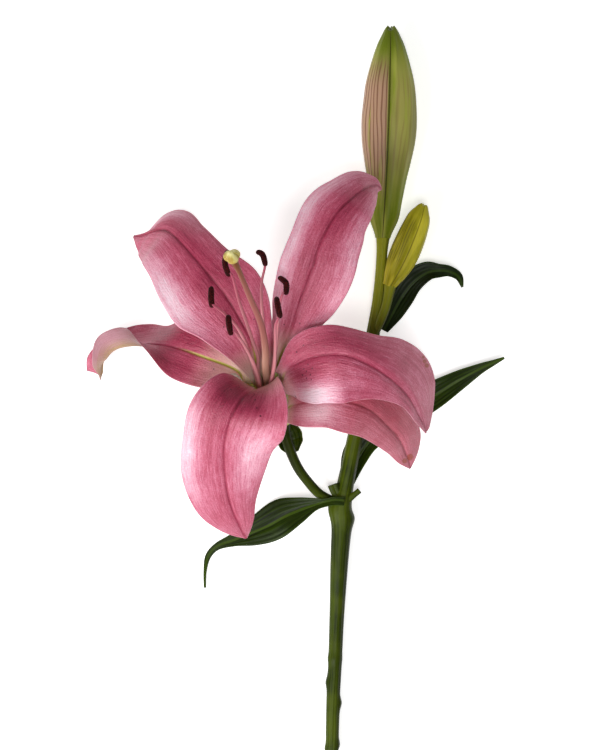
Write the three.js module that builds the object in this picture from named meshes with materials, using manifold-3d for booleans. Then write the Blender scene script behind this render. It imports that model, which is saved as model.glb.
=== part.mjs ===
// A cut stem of lily, lying down: one open bloom, one large closed bud, one small bud and leaves.
//
// Millimetres. +X runs across the stem, +Y along it towards the buds and +Z up from the surface
// that it lies on. The bloom looks up and a little towards +Y. The lower stem, the large bud and
// the low leaf rest on z = 0.

import * as THREE from 'three';
import Module from 'manifold-3d';

const wasm = await Module();
wasm.setup();

// ---------------------------------------------------------------- driving dimensions

const STEM_SIDES = 14;
const TEPAL_STEPS = 24;
const TEPAL_COLUMNS = 8;
const TEPAL_THICK = 0.7;
const LEAF_STEPS = 18;
const LEAF_COLUMNS = 6;
const LEAF_THICK = 0.6;
const CLEAR = 0.4;

// The receptacle, where the flower stalk widens and carries the tepals, stamens and pistil.
const RECEPTACLE = new THREE.Vector3(-8, -10.5, 24);
const BLOOM_AXIS = new THREE.Vector3(-0.2, 0.44, 0.875).normalize();
const RECEPTACLE_RADIUS = 8.8;
const INNER_CLAW_RADIUS = 5.8;
const OUTER_CLAW_RADIUS = 8.1;
const CLAW_HEIGHTS = [0.5, 10, 20, 30];
const CLAW_FLARE = [1, 1.04, 1.15, 1.37];
const CLAW_HALF_ANGLE = 44;
const FILAMENT_RING = 4.1;
const OVARY_RADIUS = 2.3;
const OVARY_LENGTH = 26;

// Directions square to the bloom's axis: BLOOM_SIDE points to +X, BLOOM_TOP towards +Y.
const BLOOM_TOP = new THREE.Vector3(0, 1, 0).addScaledVector(BLOOM_AXIS, -BLOOM_AXIS.y).normalize();
const BLOOM_SIDE = new THREE.Vector3().crossVectors(BLOOM_TOP, BLOOM_AXIS).normalize();

// ---------------------------------------------------------------- materials

const colours = {
  tepal_pink: new THREE.MeshStandardMaterial({ color: 0xd07a92, roughness: 0.5, metalness: 0 }),
  stem_green: new THREE.MeshStandardMaterial({ color: 0x4c6b1e, roughness: 0.5, metalness: 0 }),
  leaf_green: new THREE.MeshStandardMaterial({ color: 0x234a1c, roughness: 0.42, metalness: 0 }),
  bud_blush: new THREE.MeshStandardMaterial({ color: 0xa08c6a, roughness: 0.55, metalness: 0 }),
  bud_yellow: new THREE.MeshStandardMaterial({ color: 0xb9ae2c, roughness: 0.5, metalness: 0 }),
  filament_pink: new THREE.MeshStandardMaterial({ color: 0xdba0a4, roughness: 0.4, metalness: 0 }),
  anther_maroon: new THREE.MeshStandardMaterial({ color: 0x4a1418, roughness: 0.85, metalness: 0 }),
  stigma_green: new THREE.MeshStandardMaterial({ color: 0xc9cf86, roughness: 0.45, metalness: 0 }),
  ovary_green: new THREE.MeshStandardMaterial({ color: 0x8fae4a, roughness: 0.45, metalness: 0 }),
};

const lily = new THREE.Group();

function addPiece(name, slot, geometry) {
  const mesh = new THREE.Mesh(geometry, colours[slot]);
  mesh.name = name;
  lily.add(mesh);
}

// ---------------------------------------------------------------- small helpers

const radians = THREE.MathUtils.degToRad;

// A smooth value at place u (0 to 1) along a list of equally long rows of numbers.
function smoothRow(rows, u) {
  const last = rows.length - 1;
  const place = Math.min(Math.max(u, 0), 1) * last;
  const i = Math.min(Math.floor(place), last - 1);
  const f = place - i;
  const before = rows[Math.max(i - 1, 0)];
  const here = rows[i];
  const next = rows[i + 1];
  const after = rows[Math.min(i + 2, last)];
  return here.map((value, k) => {
    const slopeHere = (next[k] - before[k]) / 2;
    const slopeNext = (after[k] - value) / 2;
    const rise = next[k] - value;
    const square = 3 * rise - 2 * slopeHere - slopeNext;
    const cube = slopeHere + slopeNext - 2 * rise;
    return value + f * (slopeHere + f * (square + f * cube));
  });
}

// A place in the bloom: height along its axis, radius and angle round it.
function inBloom(height, radius, angle) {
  return RECEPTACLE.clone()
    .addScaledVector(BLOOM_AXIS, height)
    .addScaledVector(BLOOM_SIDE, radius * Math.cos(radians(angle)))
    .addScaledVector(BLOOM_TOP, radius * Math.sin(radians(angle)));
}

// A smooth bump: 1 at zero, fading out over a width.
const bump = (away, width) => Math.exp(-((away / width) ** 2));

// The solid between a stack of closed rings of points, closed by a fan at each end.
function skinOver(rings) {
  const sides = rings[0].length;
  const points = rings.flat();
  const faces = [];
  for (let i = 0; i + 1 < rings.length; i += 1) {
    for (let j = 0; j < sides; j += 1) {
      const a = i * sides + j;
      const b = i * sides + (j + 1) % sides;
      faces.push(a, b + sides, b, a, a + sides, b + sides);
    }
  }
  for (const end of [0, rings.length - 1]) {
    const middle = new THREE.Vector3();
    rings[end].forEach((point) => middle.addScaledVector(point, 1 / sides));
    const centre = points.push(middle) - 1;
    for (let j = 0; j < sides; j += 1) {
      const a = end * sides + j;
      const b = end * sides + (j + 1) % sides;
      faces.push(...(end === 0 ? [centre, a, b] : [centre, b, a]));
    }
  }
  return solidOf(points, faces);
}

function solidOf(points, faces) {
  const geometry = new THREE.BufferGeometry();
  geometry.setFromPoints(points);
  geometry.setIndex(faces);
  geometry.computeVertexNormals();
  return geometry;
}

// One solid grown together from several.
function joined(geometries) {
  const parts = geometries.map((geometry) => new wasm.Manifold(new wasm.Mesh({
    numProp: 3,
    vertProperties: new Float32Array(geometry.getAttribute('position').array),
    triVerts: new Uint32Array(geometry.index.array),
  })));
  const whole = parts.reduce((sum, part) => sum.add(part)).getMesh();
  const geometry = new THREE.BufferGeometry();
  geometry.setAttribute('position', new THREE.BufferAttribute(whole.vertProperties, 3));
  geometry.setIndex(new THREE.BufferAttribute(whole.triVerts, 1));
  geometry.computeVertexNormals();
  return geometry;
}

// Presses whatever would sink below the surface flat on to it.
function settle(points) {
  points.forEach((point) => {
    point.z = Math.max(point.z, 0);
  });
  return points;
}

// ---------------------------------------------------------------- stalks

// A stalk along rows of [x, y, z, radius]. relief(u, angle) adds to the radius at place u (0 to 1);
// angle 0 is the +X side of a stalk that runs along +Y, and a quarter turn is its upper side.
function stalk({ rows, sides, steps, across = [1, 0, 0], relief = () => 0 }) {
  const rings = [];
  for (let i = 0; i <= steps; i += 1) {
    const u = i / steps;
    const [x, y, z, radius] = smoothRow(rows, u);
    const ahead = new THREE.Vector3(...smoothRow(rows, u + 0.01));
    const behind = new THREE.Vector3(...smoothRow(rows, u - 0.01));
    const along = ahead.sub(behind).normalize();
    const up = new THREE.Vector3().crossVectors(new THREE.Vector3(...across), along).normalize();
    const side = new THREE.Vector3().crossVectors(along, up);
    const ring = [];
    for (let j = 0; j < sides; j += 1) {
      const angle = (j / sides) * 2 * Math.PI;
      const reach = radius + relief(u, angle);
      const point = new THREE.Vector3(x, y, z);
      point.addScaledVector(side, reach * Math.cos(angle));
      point.addScaledVector(up, reach * Math.sin(angle));
      ring.push(point);
    }
    rings.push(settle(ring));
  }
  return skinOver(rings);
}

// A rounded swelling at the place "at" and on the side "side" (degrees): length and wide say how
// far it spreads along the stalk and round it.
function swelling(u, angle, { at, length, height, side, wide }) {
  const along = (u - at) / length;
  const turn = Math.atan2(Math.sin(angle - radians(side)), Math.cos(angle - radians(side)));
  const round = turn / radians(wide);
  return height * Math.exp(-along * along - round * round);
}

// ---------------------------------------------------------------- blades

// A thin blade along its midrib. Each row is
//   [x, y, z,  face x, face y, face z,  left width, right width,  left curl, right curl].
// The face vector is where the upper side looks; left and right are as seen from above with
// the tip ahead. A curl is the angle, in degrees, that the half turns through from the
// midrib to its edge: upwards above zero, downwards below. Along u (0 at the foot, 1 at the tip)
// and s (-1 at the left edge, 1 at the right) wave(u, s) lifts the blade and lean(u, s) moves it
// towards the tip.
function blade({ rows, steps, columns, thick, rib, groove, wave, lean = () => 0 }) {
  const upper = [];
  const lower = [];
  for (let i = 0; i <= steps; i += 1) {
    const u = i / steps;
    const row = smoothRow(rows, u);
    const ahead = new THREE.Vector3(...smoothRow(rows, u + 0.01));
    const behind = new THREE.Vector3(...smoothRow(rows, u - 0.01));
    const along = ahead.sub(behind).normalize();
    const face = new THREE.Vector3(row[3], row[4], row[5]);
    const right = new THREE.Vector3().crossVectors(along, face).normalize();
    const up = new THREE.Vector3().crossVectors(right, along);
    const midrib = new THREE.Vector3(row[0], row[1], row[2]);
    for (let j = 0; j <= columns; j += 1) {
      const s = (2 * j) / columns - 1;
      const half = s < 0 ? 0 : 1;
      const width = Math.max(row[6 + half], 0.5);
      const curl = radians(row[8 + half]) + 1e-6;
      const turn = curl * Math.abs(s);
      const out = (width * Math.sin(turn)) / curl;
      const furrow = groove * Math.exp(-((s * width) ** 2) / 4) * Math.min(1, width / 8);
      const ripple = wave(u, s) * s * s * Math.min(1, width / 6);
      const rise = (width * (1 - Math.cos(turn))) / curl - furrow + ripple;
      const surface = midrib.clone()
        .addScaledVector(right, Math.sign(s) * out)
        .addScaledVector(up, rise)
        .addScaledVector(along, lean(u, s));
      const normal = up.clone().multiplyScalar(Math.cos(turn))
        .addScaledVector(right, -Math.sign(s) * Math.sin(turn));
      const ribShare = Math.exp(-((s * width) ** 2) / 6) * Math.min(1, width / 8);
      const top = surface.clone().addScaledVector(normal, thick / 2);
      const under = surface.clone().addScaledVector(normal, -thick / 2 - rib * ribShare);
      if (under.z < 0) {
        top.z = Math.max(top.z, thick);
      }
      upper.push(top);
      lower.push(under);
    }
  }
  settle(lower);
  return slabBetween(upper, lower, steps, columns);
}

// The closed slab between two grids of points that are split into triangles alike.
function slabBetween(upper, lower, steps, columns) {
  const points = [...upper, ...lower];
  const under = upper.length;
  const across = columns + 1;
  const faces = [];
  for (let i = 0; i < steps; i += 1) {
    for (let j = 0; j < columns; j += 1) {
      const a = i * across + j;
      const b = a + 1;
      const c = b + across;
      const d = a + across;
      const split = j < columns / 2 ? [a, b, c, a, c, d] : [a, b, d, b, c, d];
      faces.push(...split);
      faces.push(...split.toReversed().map((k) => k + under));
    }
  }
  const rim = [];
  for (let j = 0; j < columns; j += 1) {
    rim.push(j);
  }
  for (let i = 0; i < steps; i += 1) {
    rim.push(i * across + columns);
  }
  for (let j = columns; j > 0; j -= 1) {
    rim.push(steps * across + j);
  }
  for (let i = steps; i > 0; i -= 1) {
    rim.push(i * across);
  }
  rim.forEach((a, k) => {
    const b = rim[(k + 1) % rim.length];
    faces.push(a, a + under, b + under, a, b + under, b);
  });
  return solidOf(points, faces);
}

// The first rows of a tepal: its claw, the narrow foot that wraps the pistil and stamens. The
// angle is its place round the bloom's axis, from BLOOM_SIDE towards BLOOM_TOP.
function claw(angle, radius, count = 4) {
  return CLAW_HEIGHTS.slice(0, count).map((height, k) => {
    const reach = radius * CLAW_FLARE[k];
    const foot = inBloom(height, reach, angle);
    const inward = inBloom(height, 0, 0).sub(foot).normalize();
    const half = radians(CLAW_HALF_ANGLE) * reach;
    return [...foot.toArray(), ...inward.toArray(), half, half, CLAW_HALF_ANGLE, CLAW_HALF_ANGLE];
  });
}

// ---------------------------------------------------------------- tepals

// Gentle waves of a tepal's edges: count waves over its length, each side in its own phase.
function edgeWave(height, count, phase) {
  return (u, s) => {
    const fade = Math.sin(Math.PI * Math.min(1, Math.max(0, (u - 0.25) / 0.75)));
    return height * fade * Math.sin(2 * Math.PI * count * u + phase + (s < 0 ? 0 : 2));
  };
}

const tepals = {
  // The three inner tepals.
  tepal_upper_left: {
    claw: claw(126, INNER_CLAW_RADIUS),
    rows: [
      [-20.5, 21.5, 57, 0.1, -0.3, 1, 14.5, 11, 36, 36],
      [-26.5, 33.5, 58, 0, -0.1, 1, 20.5, 17, 20, 24],
      [-34, 45.5, 57, 0, 0, 1, 27, 19, 6, 10],
      [-44, 58, 54, 0, 0.1, 1, 26, 15, -4, -14],
      [-54, 69.5, 48, -0.1, 0.2, 1, 22, 14.5, -8, -36],
      [-62.3, 76.8, 40.5, -0.1, 0.2, 1, 18.5, 15, -10, -44],
      [-69.8, 77, 32, -0.2, 0.2, 1, 11, 0.6, -10, -40],
      [-75, 75.5, 24, -0.3, 0.2, 1, 6.5, 0.7, -6, -20],
      [-79.5, 75, 17, -0.4, 0.2, 1, 0.6, 0.6, 0, 0],
    ],
    wave: edgeWave(0.8, 3, 0.4),
    lean: (u, s) => (s < 0 ? -13 * s * bump(u - 0.83, 0.09) : 5 * s * s * bump(u - 0.76, 0.1)),
  },
  tepal_right: {
    claw: claw(6, INNER_CLAW_RADIUS),
    rows: [
      [-5, 8.5, 58, -0.5, -0.2, 0.8, 4.4, 15.4, 46, 30],
      [4.5, 14, 65, -0.3, 0, 1, 12.5, 21.5, 20, 10],
      [14.5, 16.5, 70, -0.1, 0.1, 1, 14.5, 22.5, -6, -10],
      [24.5, 16, 71, 0.1, 0.1, 1, 15, 23, -36, -14],
      [35.5, 11.5, 68, 0.2, 0.1, 1, 17.5, 18, -44, -14],
      [45.5, 5, 61, 0.4, 0.1, 1, 22.5, 11.5, -30, -10],
      [54, -3.5, 51, 0.5, 0.1, 1, 24, 6, -20, -10],
      [60, -13.5, 40, 0.6, 0.1, 0.9, 18, 3.5, -10, -10],
      [63.5, -21, 30, 0.7, 0, 0.8, 3.5, 0.6, 0, 0],
    ],
    wave: edgeWave(1.0, 3, 1.4),
    lean: (u, s) => (s < 0 ? 0 : 70 * s * s * (u - 0.52) * bump(u - 0.52, 0.1)),
  },
  tepal_lower: {
    claw: claw(246, INNER_CLAW_RADIUS),
    rows: [
      [-18.5, 1, 63, -0.1, 0.8, 0.5, 12, 10, 60, 50],
      [-24.5, -3.5, 76, 0.08, 0.48, 0.87, 24, 16.5, 36, 34],
      [-30, -13, 81, 0, 0, 1, 26.3, 20.5, 0, 4],
      [-33.5, -26, 75, 0, -0.3, 1, 24, 20, -12, -6],
      [-33.5, -40.5, 65, 0, -0.5, 1, 20, 21, -20, -14],
      [-31.5, -54.5, 54, 0, -0.6, 1, 14, 18, -24, -16],
      [-27.5, -65, 45, 0, -0.6, 1, 8, 11.5, -20, -16],
      [-24, -72, 37, 0, -0.6, 1, 0.6, 0.6, 0, 0],
    ],
    wave: edgeWave(0.8, 3, 2.6),
  },
  // The three outer tepals.
  tepal_upper_right: {
    claw: claw(66, OUTER_CLAW_RADIUS),
    rows: [
      [-2, 29, 57, -0.15, -0.3, 1, 10, 11, 20, 24],
      [2, 41.5, 60, 0.05, -0.1, 1, 13.5, 17, 2, 2],
      [7.5, 56, 64, 0.05, 0, 1, 16, 20, -8, -4],
      [11.5, 69, 65, 0.05, 0, 1, 15, 20, -14, -10],
      [18.5, 82.5, 63, 0.1, 0.1, 1, 16, 18, -20, -16],
      [27, 91.5, 58, 0.15, 0.2, 1, 14, 14, -26, -20],
      [34, 97, 51, 0.3, 0.3, 1, 11, 9.5, -24, -20],
      [38.5, 98.5, 44, 0.3, 0.3, 1, 5, 5, -10, -10],
      [41.5, 97, 39, 0.3, 0.3, 1, 0.6, 0.6, 0, 0],
    ],
    wave: edgeWave(0.7, 3, 3.6),
  },
  tepal_left: {
    claw: claw(186, OUTER_CLAW_RADIUS),
    rows: [
      [-28, 9, 46.5, 0.3, 0.1, 1, 10, 6.2, 20, 16],
      [-43.5, 15.5, 50, 0.1, 0.2, 1, 15.5, 14, 10, 10],
      [-56.5, 20, 47, -0.1, 0.4, 0.9, 15.5, 15, 10, 10],
      [-68, 22, 43, -0.1, 0.9, 0.45, 12, 15, 34, 24],
      [-78, 22.5, 38, -0.1, 1, -0.1, 12.5, 19, 80, 68],
      [-87.8, 20.6, 32, -0.3, 1, -0.1, 11.5, 15, 84, 74],
      [-94.2, 15.2, 26, -1, 0.3, 0, 7, 10, 80, 70],
      [-96, 10.2, 20, -1, 0.1, 0, 3, 11, 60, 80],
      [-96.2, 5.5, 15, -1, 0.2, 0, 0.6, 0.6, 0, 0],
    ],
    wave: edgeWave(0.5, 3, 4.6),
    lean: (u, s) => (s < 0 ? 0 : 14.5 * s * s * bump(u - 0.875, 0.09)),
  },
  tepal_lower_right: {
    claw: claw(306, OUTER_CLAW_RADIUS, 2),
    rows: [
      [-3, -8, 46, -0.65, 0.3, 0.5, 9, 9, 24, 14],
      [4.5, -6, 53, -0.3, 0.2, 1, 16, 12.5, 10, 10],
      [15.5, -4.5, 55.5, 0, 0.1, 1, 14, 14, -8, 0],
      [26, -6, 53, 0.3, 0, 1, 16, 15, -16, -6],
      [36, -10, 46, 0.5, -0.1, 1, 16, 14, -20, -10],
      [44, -17, 37, 0.5, -0.2, 1, 15.5, 11.5, -24, -14],
      [51, -25, 27, 0.5, -0.2, 1, 14, 9, -24, -14],
      [54.5, -33, 17, 0.5, -0.3, 1, 9.5, 5.5, -16, -10],
      [56.5, -39, 9, 0.5, -0.3, 1, 0.6, 0.6, 0, 0],
    ],
    wave: edgeWave(0.7, 3, 5.6),
  },
};

for (const [name, tepal] of Object.entries(tepals)) {
  addPiece(name, 'tepal_pink', blade({
    rows: [...tepal.claw, ...tepal.rows],
    steps: TEPAL_STEPS,
    columns: TEPAL_COLUMNS,
    thick: TEPAL_THICK,
    rib: 0.5,
    groove: 0.8,
    wave: tepal.wave,
    lean: tepal.lean,
  }));
}

// ---------------------------------------------------------------- stem and stalks

const stemScars = [
  { at: 0.004, length: 0.008, height: 0.6, side: 180, wide: 50 },
  { at: 0.012, length: 0.007, height: 0.6, side: 0, wide: 40 },
  { at: 0.063, length: 0.008, height: 1, side: 0, wide: 35 },
  { at: 0.095, length: 0.01, height: 0.8, side: 180, wide: 45 },
  { at: 0.135, length: 0.006, height: 0.35, side: 180, wide: 200 },
  { at: 0.36, length: 0.022, height: 1.6, side: 0, wide: 45 },
  { at: 0.39, length: 0.03, height: 1.3, side: 180, wide: 50 },
];

const mainStem = stalk({
  rows: [
    [18, -179, 3.05, 3.2],
    [18.5, -154, 3.2, 3.35],
    [19.5, -134, 3.25, 3.4],
    [20.5, -109.5, 3.5, 3.7],
    [21.5, -87, 4.4, 4.4],
    [22.5, -69.5, 5.2, 4.9],
    [22.5, -57.5, 5.8, 5.1],
    [24.5, -47.5, 6.3, 4.2],
    [27.5, -32.5, 6.8, 3.9],
    [31, -15, 7.2, 3.7],
    [34.5, 5.5, 7.9, 3.6],
    [38, 26.5, 8.8, 3.4],
    [40.5, 42.5, 9.6, 2.9],
    [42, 56.5, 10.4, 2.8],
    [42.5, 67.5, 11.2, 2.7],
    [43, 75, 11.9, 3.4],
  ],
  sides: STEM_SIDES,
  steps: 60,
  relief: (u, angle) => stemScars.reduce((sum, scar) => sum + swelling(u, angle, scar), 0),
});

const flowerStalk = stalk({
  rows: [
    [22, -56.5, 5, 2.2],
    [17.5, -55, 6.3, 2.4],
    [11.5, -51.5, 8.2, 2.4],
    [6, -45.5, 10.4, 2.35],
    [1, -38.5, 12.6, 2.4],
    [-3, -29.5, 14.3, 2.5],
    [-5.5, -21, 15.4, 2.9],
    [...inBloom(-6, 0, 0).toArray(), RECEPTACLE_RADIUS * 0.5],
    [...inBloom(-2.5, 0, 0).toArray(), RECEPTACLE_RADIUS * 0.85],
    [...inBloom(0, 0, 0).toArray(), RECEPTACLE_RADIUS],
  ],
  sides: 12,
  steps: 16,
});

const smallBudStalk = stalk({
  rows: [
    [39.5, 28.5, 9.5, 2],
    [41.5, 33, 12, 2.2],
    [44, 39.5, 13.8, 2.3],
    [45.5, 45.5, 14, 2.4],
    [46.5, 51, 14.2, 3],
  ],
  sides: 10,
  steps: 8,
});

// The stubs of two bracts that were cut off at the flower stalk's foot. They are flattened.
const flattened = (u, angle) => -1.6 * Math.sin(angle) ** 2;

const leftStub = stalk({
  rows: [
    [22.5, -55.5, 8, 2.3],
    [20, -51, 8.6, 2.6],
    [18.5, -47, 9.2, 2.9],
  ],
  sides: 8,
  steps: 4,
  relief: flattened,
});

const rightStub = stalk({
  rows: [
    [25, -55, 8, 2.2],
    [29, -52, 8.6, 1.5],
    [31.5, -50, 9, 1.5],
  ],
  sides: 8,
  steps: 4,
  relief: (u, angle) => flattened(u, angle) / 3,
});

addPiece('stem', 'stem_green', joined([mainStem, flowerStalk, smallBudStalk, leftStub, rightStub]));

// ---------------------------------------------------------------- buds

// A closed bud from foot to tip. The profile is its radius, as a share of the greatest one, at
// even places from foot to tip. Its faces meet in three shallow seams, the first at turn degrees
// plus 60, and bow pushes its middle sideways.
function bud({ foot, tip, bow, radius, profile, sides, steps, turn, seam }) {
  const start = new THREE.Vector3(...foot);
  const end = new THREE.Vector3(...tip);
  const along = end.clone().sub(start);
  const length = along.length();
  along.normalize();
  const up = new THREE.Vector3(0, 0, 1).addScaledVector(along, -along.z).normalize();
  const side = new THREE.Vector3().crossVectors(along, up);
  const shares = profile.map((share) => [share]);
  const rings = [];
  for (let i = 0; i <= steps; i += 1) {
    const u = i / steps;
    const [share] = smoothRow(shares, u);
    const ring = [];
    for (let j = 0; j < sides; j += 1) {
      const angle = (j / sides) * 2 * Math.PI;
      const wedge = Math.abs(Math.cos(1.5 * (angle - radians(turn))));
      const dent = seam * (1 - wedge) ** 3 * Math.min(1, 4 * u * (1.2 - u));
      const reach = radius * share * (1 + 0.04 * Math.cos(3 * (angle - radians(turn))) - dent);
      const point = start.clone().addScaledVector(along, u * length);
      point.addScaledVector(side, reach * Math.cos(angle) + bow * Math.sin(Math.PI * u));
      point.addScaledVector(up, reach * Math.sin(angle));
      ring.push(point);
    }
    rings.push(settle(ring));
  }
  return skinOver(rings);
}

addPiece('big_bud', 'bud_blush', bud({
  foot: [43, 76, 12],
  tip: [47, 179, 13],
  bow: 1.2,
  radius: 13.6,
  profile: [0.27, 0.52, 0.61, 0.71, 0.84, 0.96, 1, 0.96, 0.88, 0.71, 0.49, 0.2],
  sides: 24,
  steps: 24,
  turn: 40,
  seam: 0.1,
}));

addPiece('small_bud', 'bud_yellow', bud({
  foot: [46.5, 52.5, 14.2],
  tip: [63, 91, 17.5],
  bow: 0.6,
  radius: 7.2,
  profile: [0.45, 0.72, 0.93, 1, 0.98, 0.9, 0.74, 0.3],
  sides: 18,
  steps: 14,
  turn: 20,
  seam: 0.12,
}));

// ---------------------------------------------------------------- pistil

const styleRows = [
  [-14.5, 9.5, 59, 1.8],
  [-14.5, 20, 69, 1.7],
  [-16.5, 31.5, 79, 1.5],
  [-21.5, 43.5, 87, 1.35],
  [-26, 54.5, 93, 1.25],
  [-28.5, 59.5, 95.7, 1.8],
];

addPiece('ovary', 'ovary_green', stalk({
  rows: [
    [...inBloom(CLEAR, 0, 0).toArray(), OVARY_RADIUS * 0.8],
    [...inBloom(OVARY_LENGTH * 0.35, 0, 0).toArray(), OVARY_RADIUS],
    [...inBloom(OVARY_LENGTH * 0.75, 0, 0).toArray(), OVARY_RADIUS],
    [...inBloom(OVARY_LENGTH, 0, 0).toArray(), OVARY_RADIUS * 0.75],
  ],
  sides: 12,
  steps: 6,
}));

addPiece('style', 'filament_pink', stalk({
  rows: [
    [...inBloom(OVARY_LENGTH + 2 * CLEAR, 0, 0).toArray(), 1.7],
    ...styleRows,
  ],
  sides: 8,
  steps: 18,
}));

addPiece('stigma', 'stigma_green', bud({
  foot: [-29, 60.5, 96.3],
  tip: [-30, 64, 101],
  bow: 0,
  radius: 4,
  profile: [0.55, 0.9, 1, 0.7, 0.3],
  sides: 15,
  steps: 6,
  turn: 90,
  seam: 0.3,
}));

// ---------------------------------------------------------------- stamens

// Each stamen: the angle of its foot round the ovary, the rows of its filament and the ends
// of its anther, which balances on the filament's tip.
const stamens = {
  1: {
    foot: 145,
    rows: [
      [-18, 8, 51],
      [-18, 15.5, 56],
      [-20.5, 23.5, 63],
      [-24, 34, 71],
      [-27, 43, 78],
      [-29.5, 53, 87.3],
    ],
    anther: [[-31.5, 65.5, 85.5], [-33, 59.5, 87], [-31, 53, 88]],
  },
  2: {
    foot: 195,
    rows: [
      [-18.5, 5, 53],
      [-21, 14, 61],
      [-24.5, 24, 70],
      [-29.5, 32, 78],
      [-37.5, 39, 86.9],
    ],
    anther: [[-39.5, 48.5, 84], [-39.5, 43, 86], [-39, 38.5, 87]],
  },
  3: {
    foot: 245,
    rows: [
      [-17, 2, 55],
      [-19.5, 11.5, 66],
      [-23.5, 20, 78],
      [-27, 25.5, 86],
      [-28.5, 27.5, 90.4],
    ],
    anther: [[-31.5, 35, 88], [-31, 30.5, 90], [-30, 25.5, 91]],
  },
  4: {
    foot: 90,
    rows: [
      [-13.5, 11.5, 54],
      [-14, 20, 62],
      [-15, 29.5, 68.5],
      [-16, 39.5, 74],
      [-16, 50, 79],
      [-14.5, 57, 81.7],
    ],
    anther: [[-18.5, 65, 80], [-15.5, 63.5, 81], [-14, 58, 82]],
  },
  5: {
    foot: 30,
    rows: [
      [-11, 8.5, 55.5],
      [-9.5, 19, 63],
      [-8.5, 30, 72],
      [-7.5, 40, 79.5],
      [-6, 45, 84.6],
    ],
    anther: [[-8, 53, 82], [-4.5, 50, 84], [-4.5, 44.5, 85]],
  },
  6: {
    foot: 315,
    rows: [
      [-12, 2, 56],
      [-10, 12, 68],
      [-9.5, 21.5, 79],
      [-9.5, 29, 88],
      [-8.5, 32.5, 92.4],
    ],
    anther: [[-9, 43.5, 89], [-8, 38, 92], [-7, 33.5, 93]],
  },
};

for (const [number, stamen] of Object.entries(stamens)) {
  const feet = [CLEAR, 10, 20, 27].map((height) => inBloom(height, FILAMENT_RING, stamen.foot).toArray());
  const line = [...feet, ...stamen.rows];
  addPiece(`filament_${number}`, 'filament_pink', stalk({
    rows: line.map((row, i) => [...row, THREE.MathUtils.lerp(0.95, 0.6, i / (line.length - 1))]),
    sides: 6,
    steps: 13,
  }));
  const [first, middle, last] = stamen.anther;
  addPiece(`anther_${number}`, 'anther_maroon', stalk({
    rows: [
      [...first, 0.7],
      [...middle, 1.45],
      [...last, 0.7],
    ],
    sides: 8,
    steps: 8,
  }));
}

// ---------------------------------------------------------------- leaves and bracts

const leaves = {
  leaf_low: {
    rows: [
      [24, -55, 11.8, 0, 0.3, 1, 2.6, 2, 10, 10],
      [19.5, -54.5, 12, 0, 0.2, 1, 2.8, 1.6, 10, 10],
      [14.5, -55.5, 11.4, 0, 0.2, 1, 2.6, 1.7, 20, 30],
      [9.5, -57, 10.2, 0, 0.2, 1, 3, 3.6, 20, 20],
      [2.5, -59.5, 8.4, 0, 0.2, 1, 6, 6.5, 10, 10],
      [-5.5, -63, 6.4, 0, 0.2, 1, 8.5, 9.5, 10, 10],
      [-13.5, -67.5, 4.4, 0, 0.1, 1, 8.5, 9, 6, 6],
      [-22.5, -71.5, 2.6, 0, 0.1, 1, 6.5, 6, 6, 6],
      [-31, -75, 1.2, 0, 0, 1, 3.2, 3.4, 4, 4],
      [-39, -78, 0.3, 0, 0, 1, 2, 1.8, 0, 0],
      [-43.5, -83, 0.3, 0, 0, 1, 1.5, 1.5, 0, 0],
      [-45, -90.5, 1, 0, 0, 1, 0.8, 0.8, 0, 0],
      [-45, -98.5, 2.2, 0, 0, 1, 0.6, 0.6, 0, 0],
    ],
  },
  leaf_right: {
    rows: [
      [26, -48, 0.9, 0.1, 0.1, 1, 3, 2.4, 10, 30],
      [27.5, -42, 0.9, 0, 0.1, 1, 5.6, 4, 6, 40],
      [31, -34, 1, 0, 0.1, 1, 8.4, 5, 6, 40],
      [36, -26.5, 1.6, 0, 0.1, 1, 8.5, 5.2, 6, 30],
      [43.5, -19.5, 3, 0, 0.1, 1, 7.5, 6.5, 10, 20],
      [54, -12.5, 4.4, 0, 0, 1, 7, 6.5, 20, 20],
      [67.5, -4, 5.4, 0, 0, 1, 7.5, 6.5, 20, 20],
      [80, 4, 6, 0, 0, 1, 5.2, 5, 20, 20],
      [91, 10, 6.6, 0, 0, 1, 2.8, 2.6, 20, 20],
      [97.5, 13, 7.2, 0, 0, 1, 1.5, 1.5, 20, 20],
      [103, 15.5, 8, 0, 0, 1, 0.6, 0.6, 0, 0],
    ],
  },
  leaf_upper: {
    rows: [
      [43.5, 29, 6.4, 0, 0, 1, 2, 2.2, 20, 20],
      [48, 37.5, 5.6, 0, 0, 1, 4, 5, 20, 20],
      [52.5, 45.5, 5.2, 0, 0, 1, 6, 6, 20, 20],
      [58, 52.5, 5.6, 0, 0, 1, 7, 5, 20, 20],
      [65, 57.5, 7, 0, 0, 1, 5.8, 4, 20, 20],
      [71, 58.5, 8, 0, 0, 1, 3.5, 3.4, 20, 20],
      [76, 58, 7.6, 0, 0, 1, 2.9, 2.4, 10, 10],
      [80.5, 55.5, 6, 0, 0, 1, 2.2, 1.8, 0, 0],
      [82.5, 50.5, 4, 0, 0, 1, 0.6, 0.6, 0, 0],
    ],
  },
  bract: {
    rows: [
      [-6, -17.5, 10.8, 0.2, 0.3, 1, 5, 5, 50, 50],
      [-4.5, -22, 9.7, 0.2, 0.3, 1, 7.5, 7.5, 50, 50],
      [-3, -27, 9.1, 0.2, 0.3, 1, 7, 7, 50, 50],
      [-1.5, -31.5, 9.2, 0.2, 0.3, 1, 3, 3, 40, 40],
    ],
  },
};

for (const [name, leaf] of Object.entries(leaves)) {
  addPiece(name, 'leaf_green', blade({
    rows: leaf.rows,
    steps: LEAF_STEPS,
    columns: LEAF_COLUMNS,
    thick: LEAF_THICK,
    rib: 0.4,
    groove: 0.6,
    wave: edgeWave(0.6, 3, 1),
  }));
}

export default lily;
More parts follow.
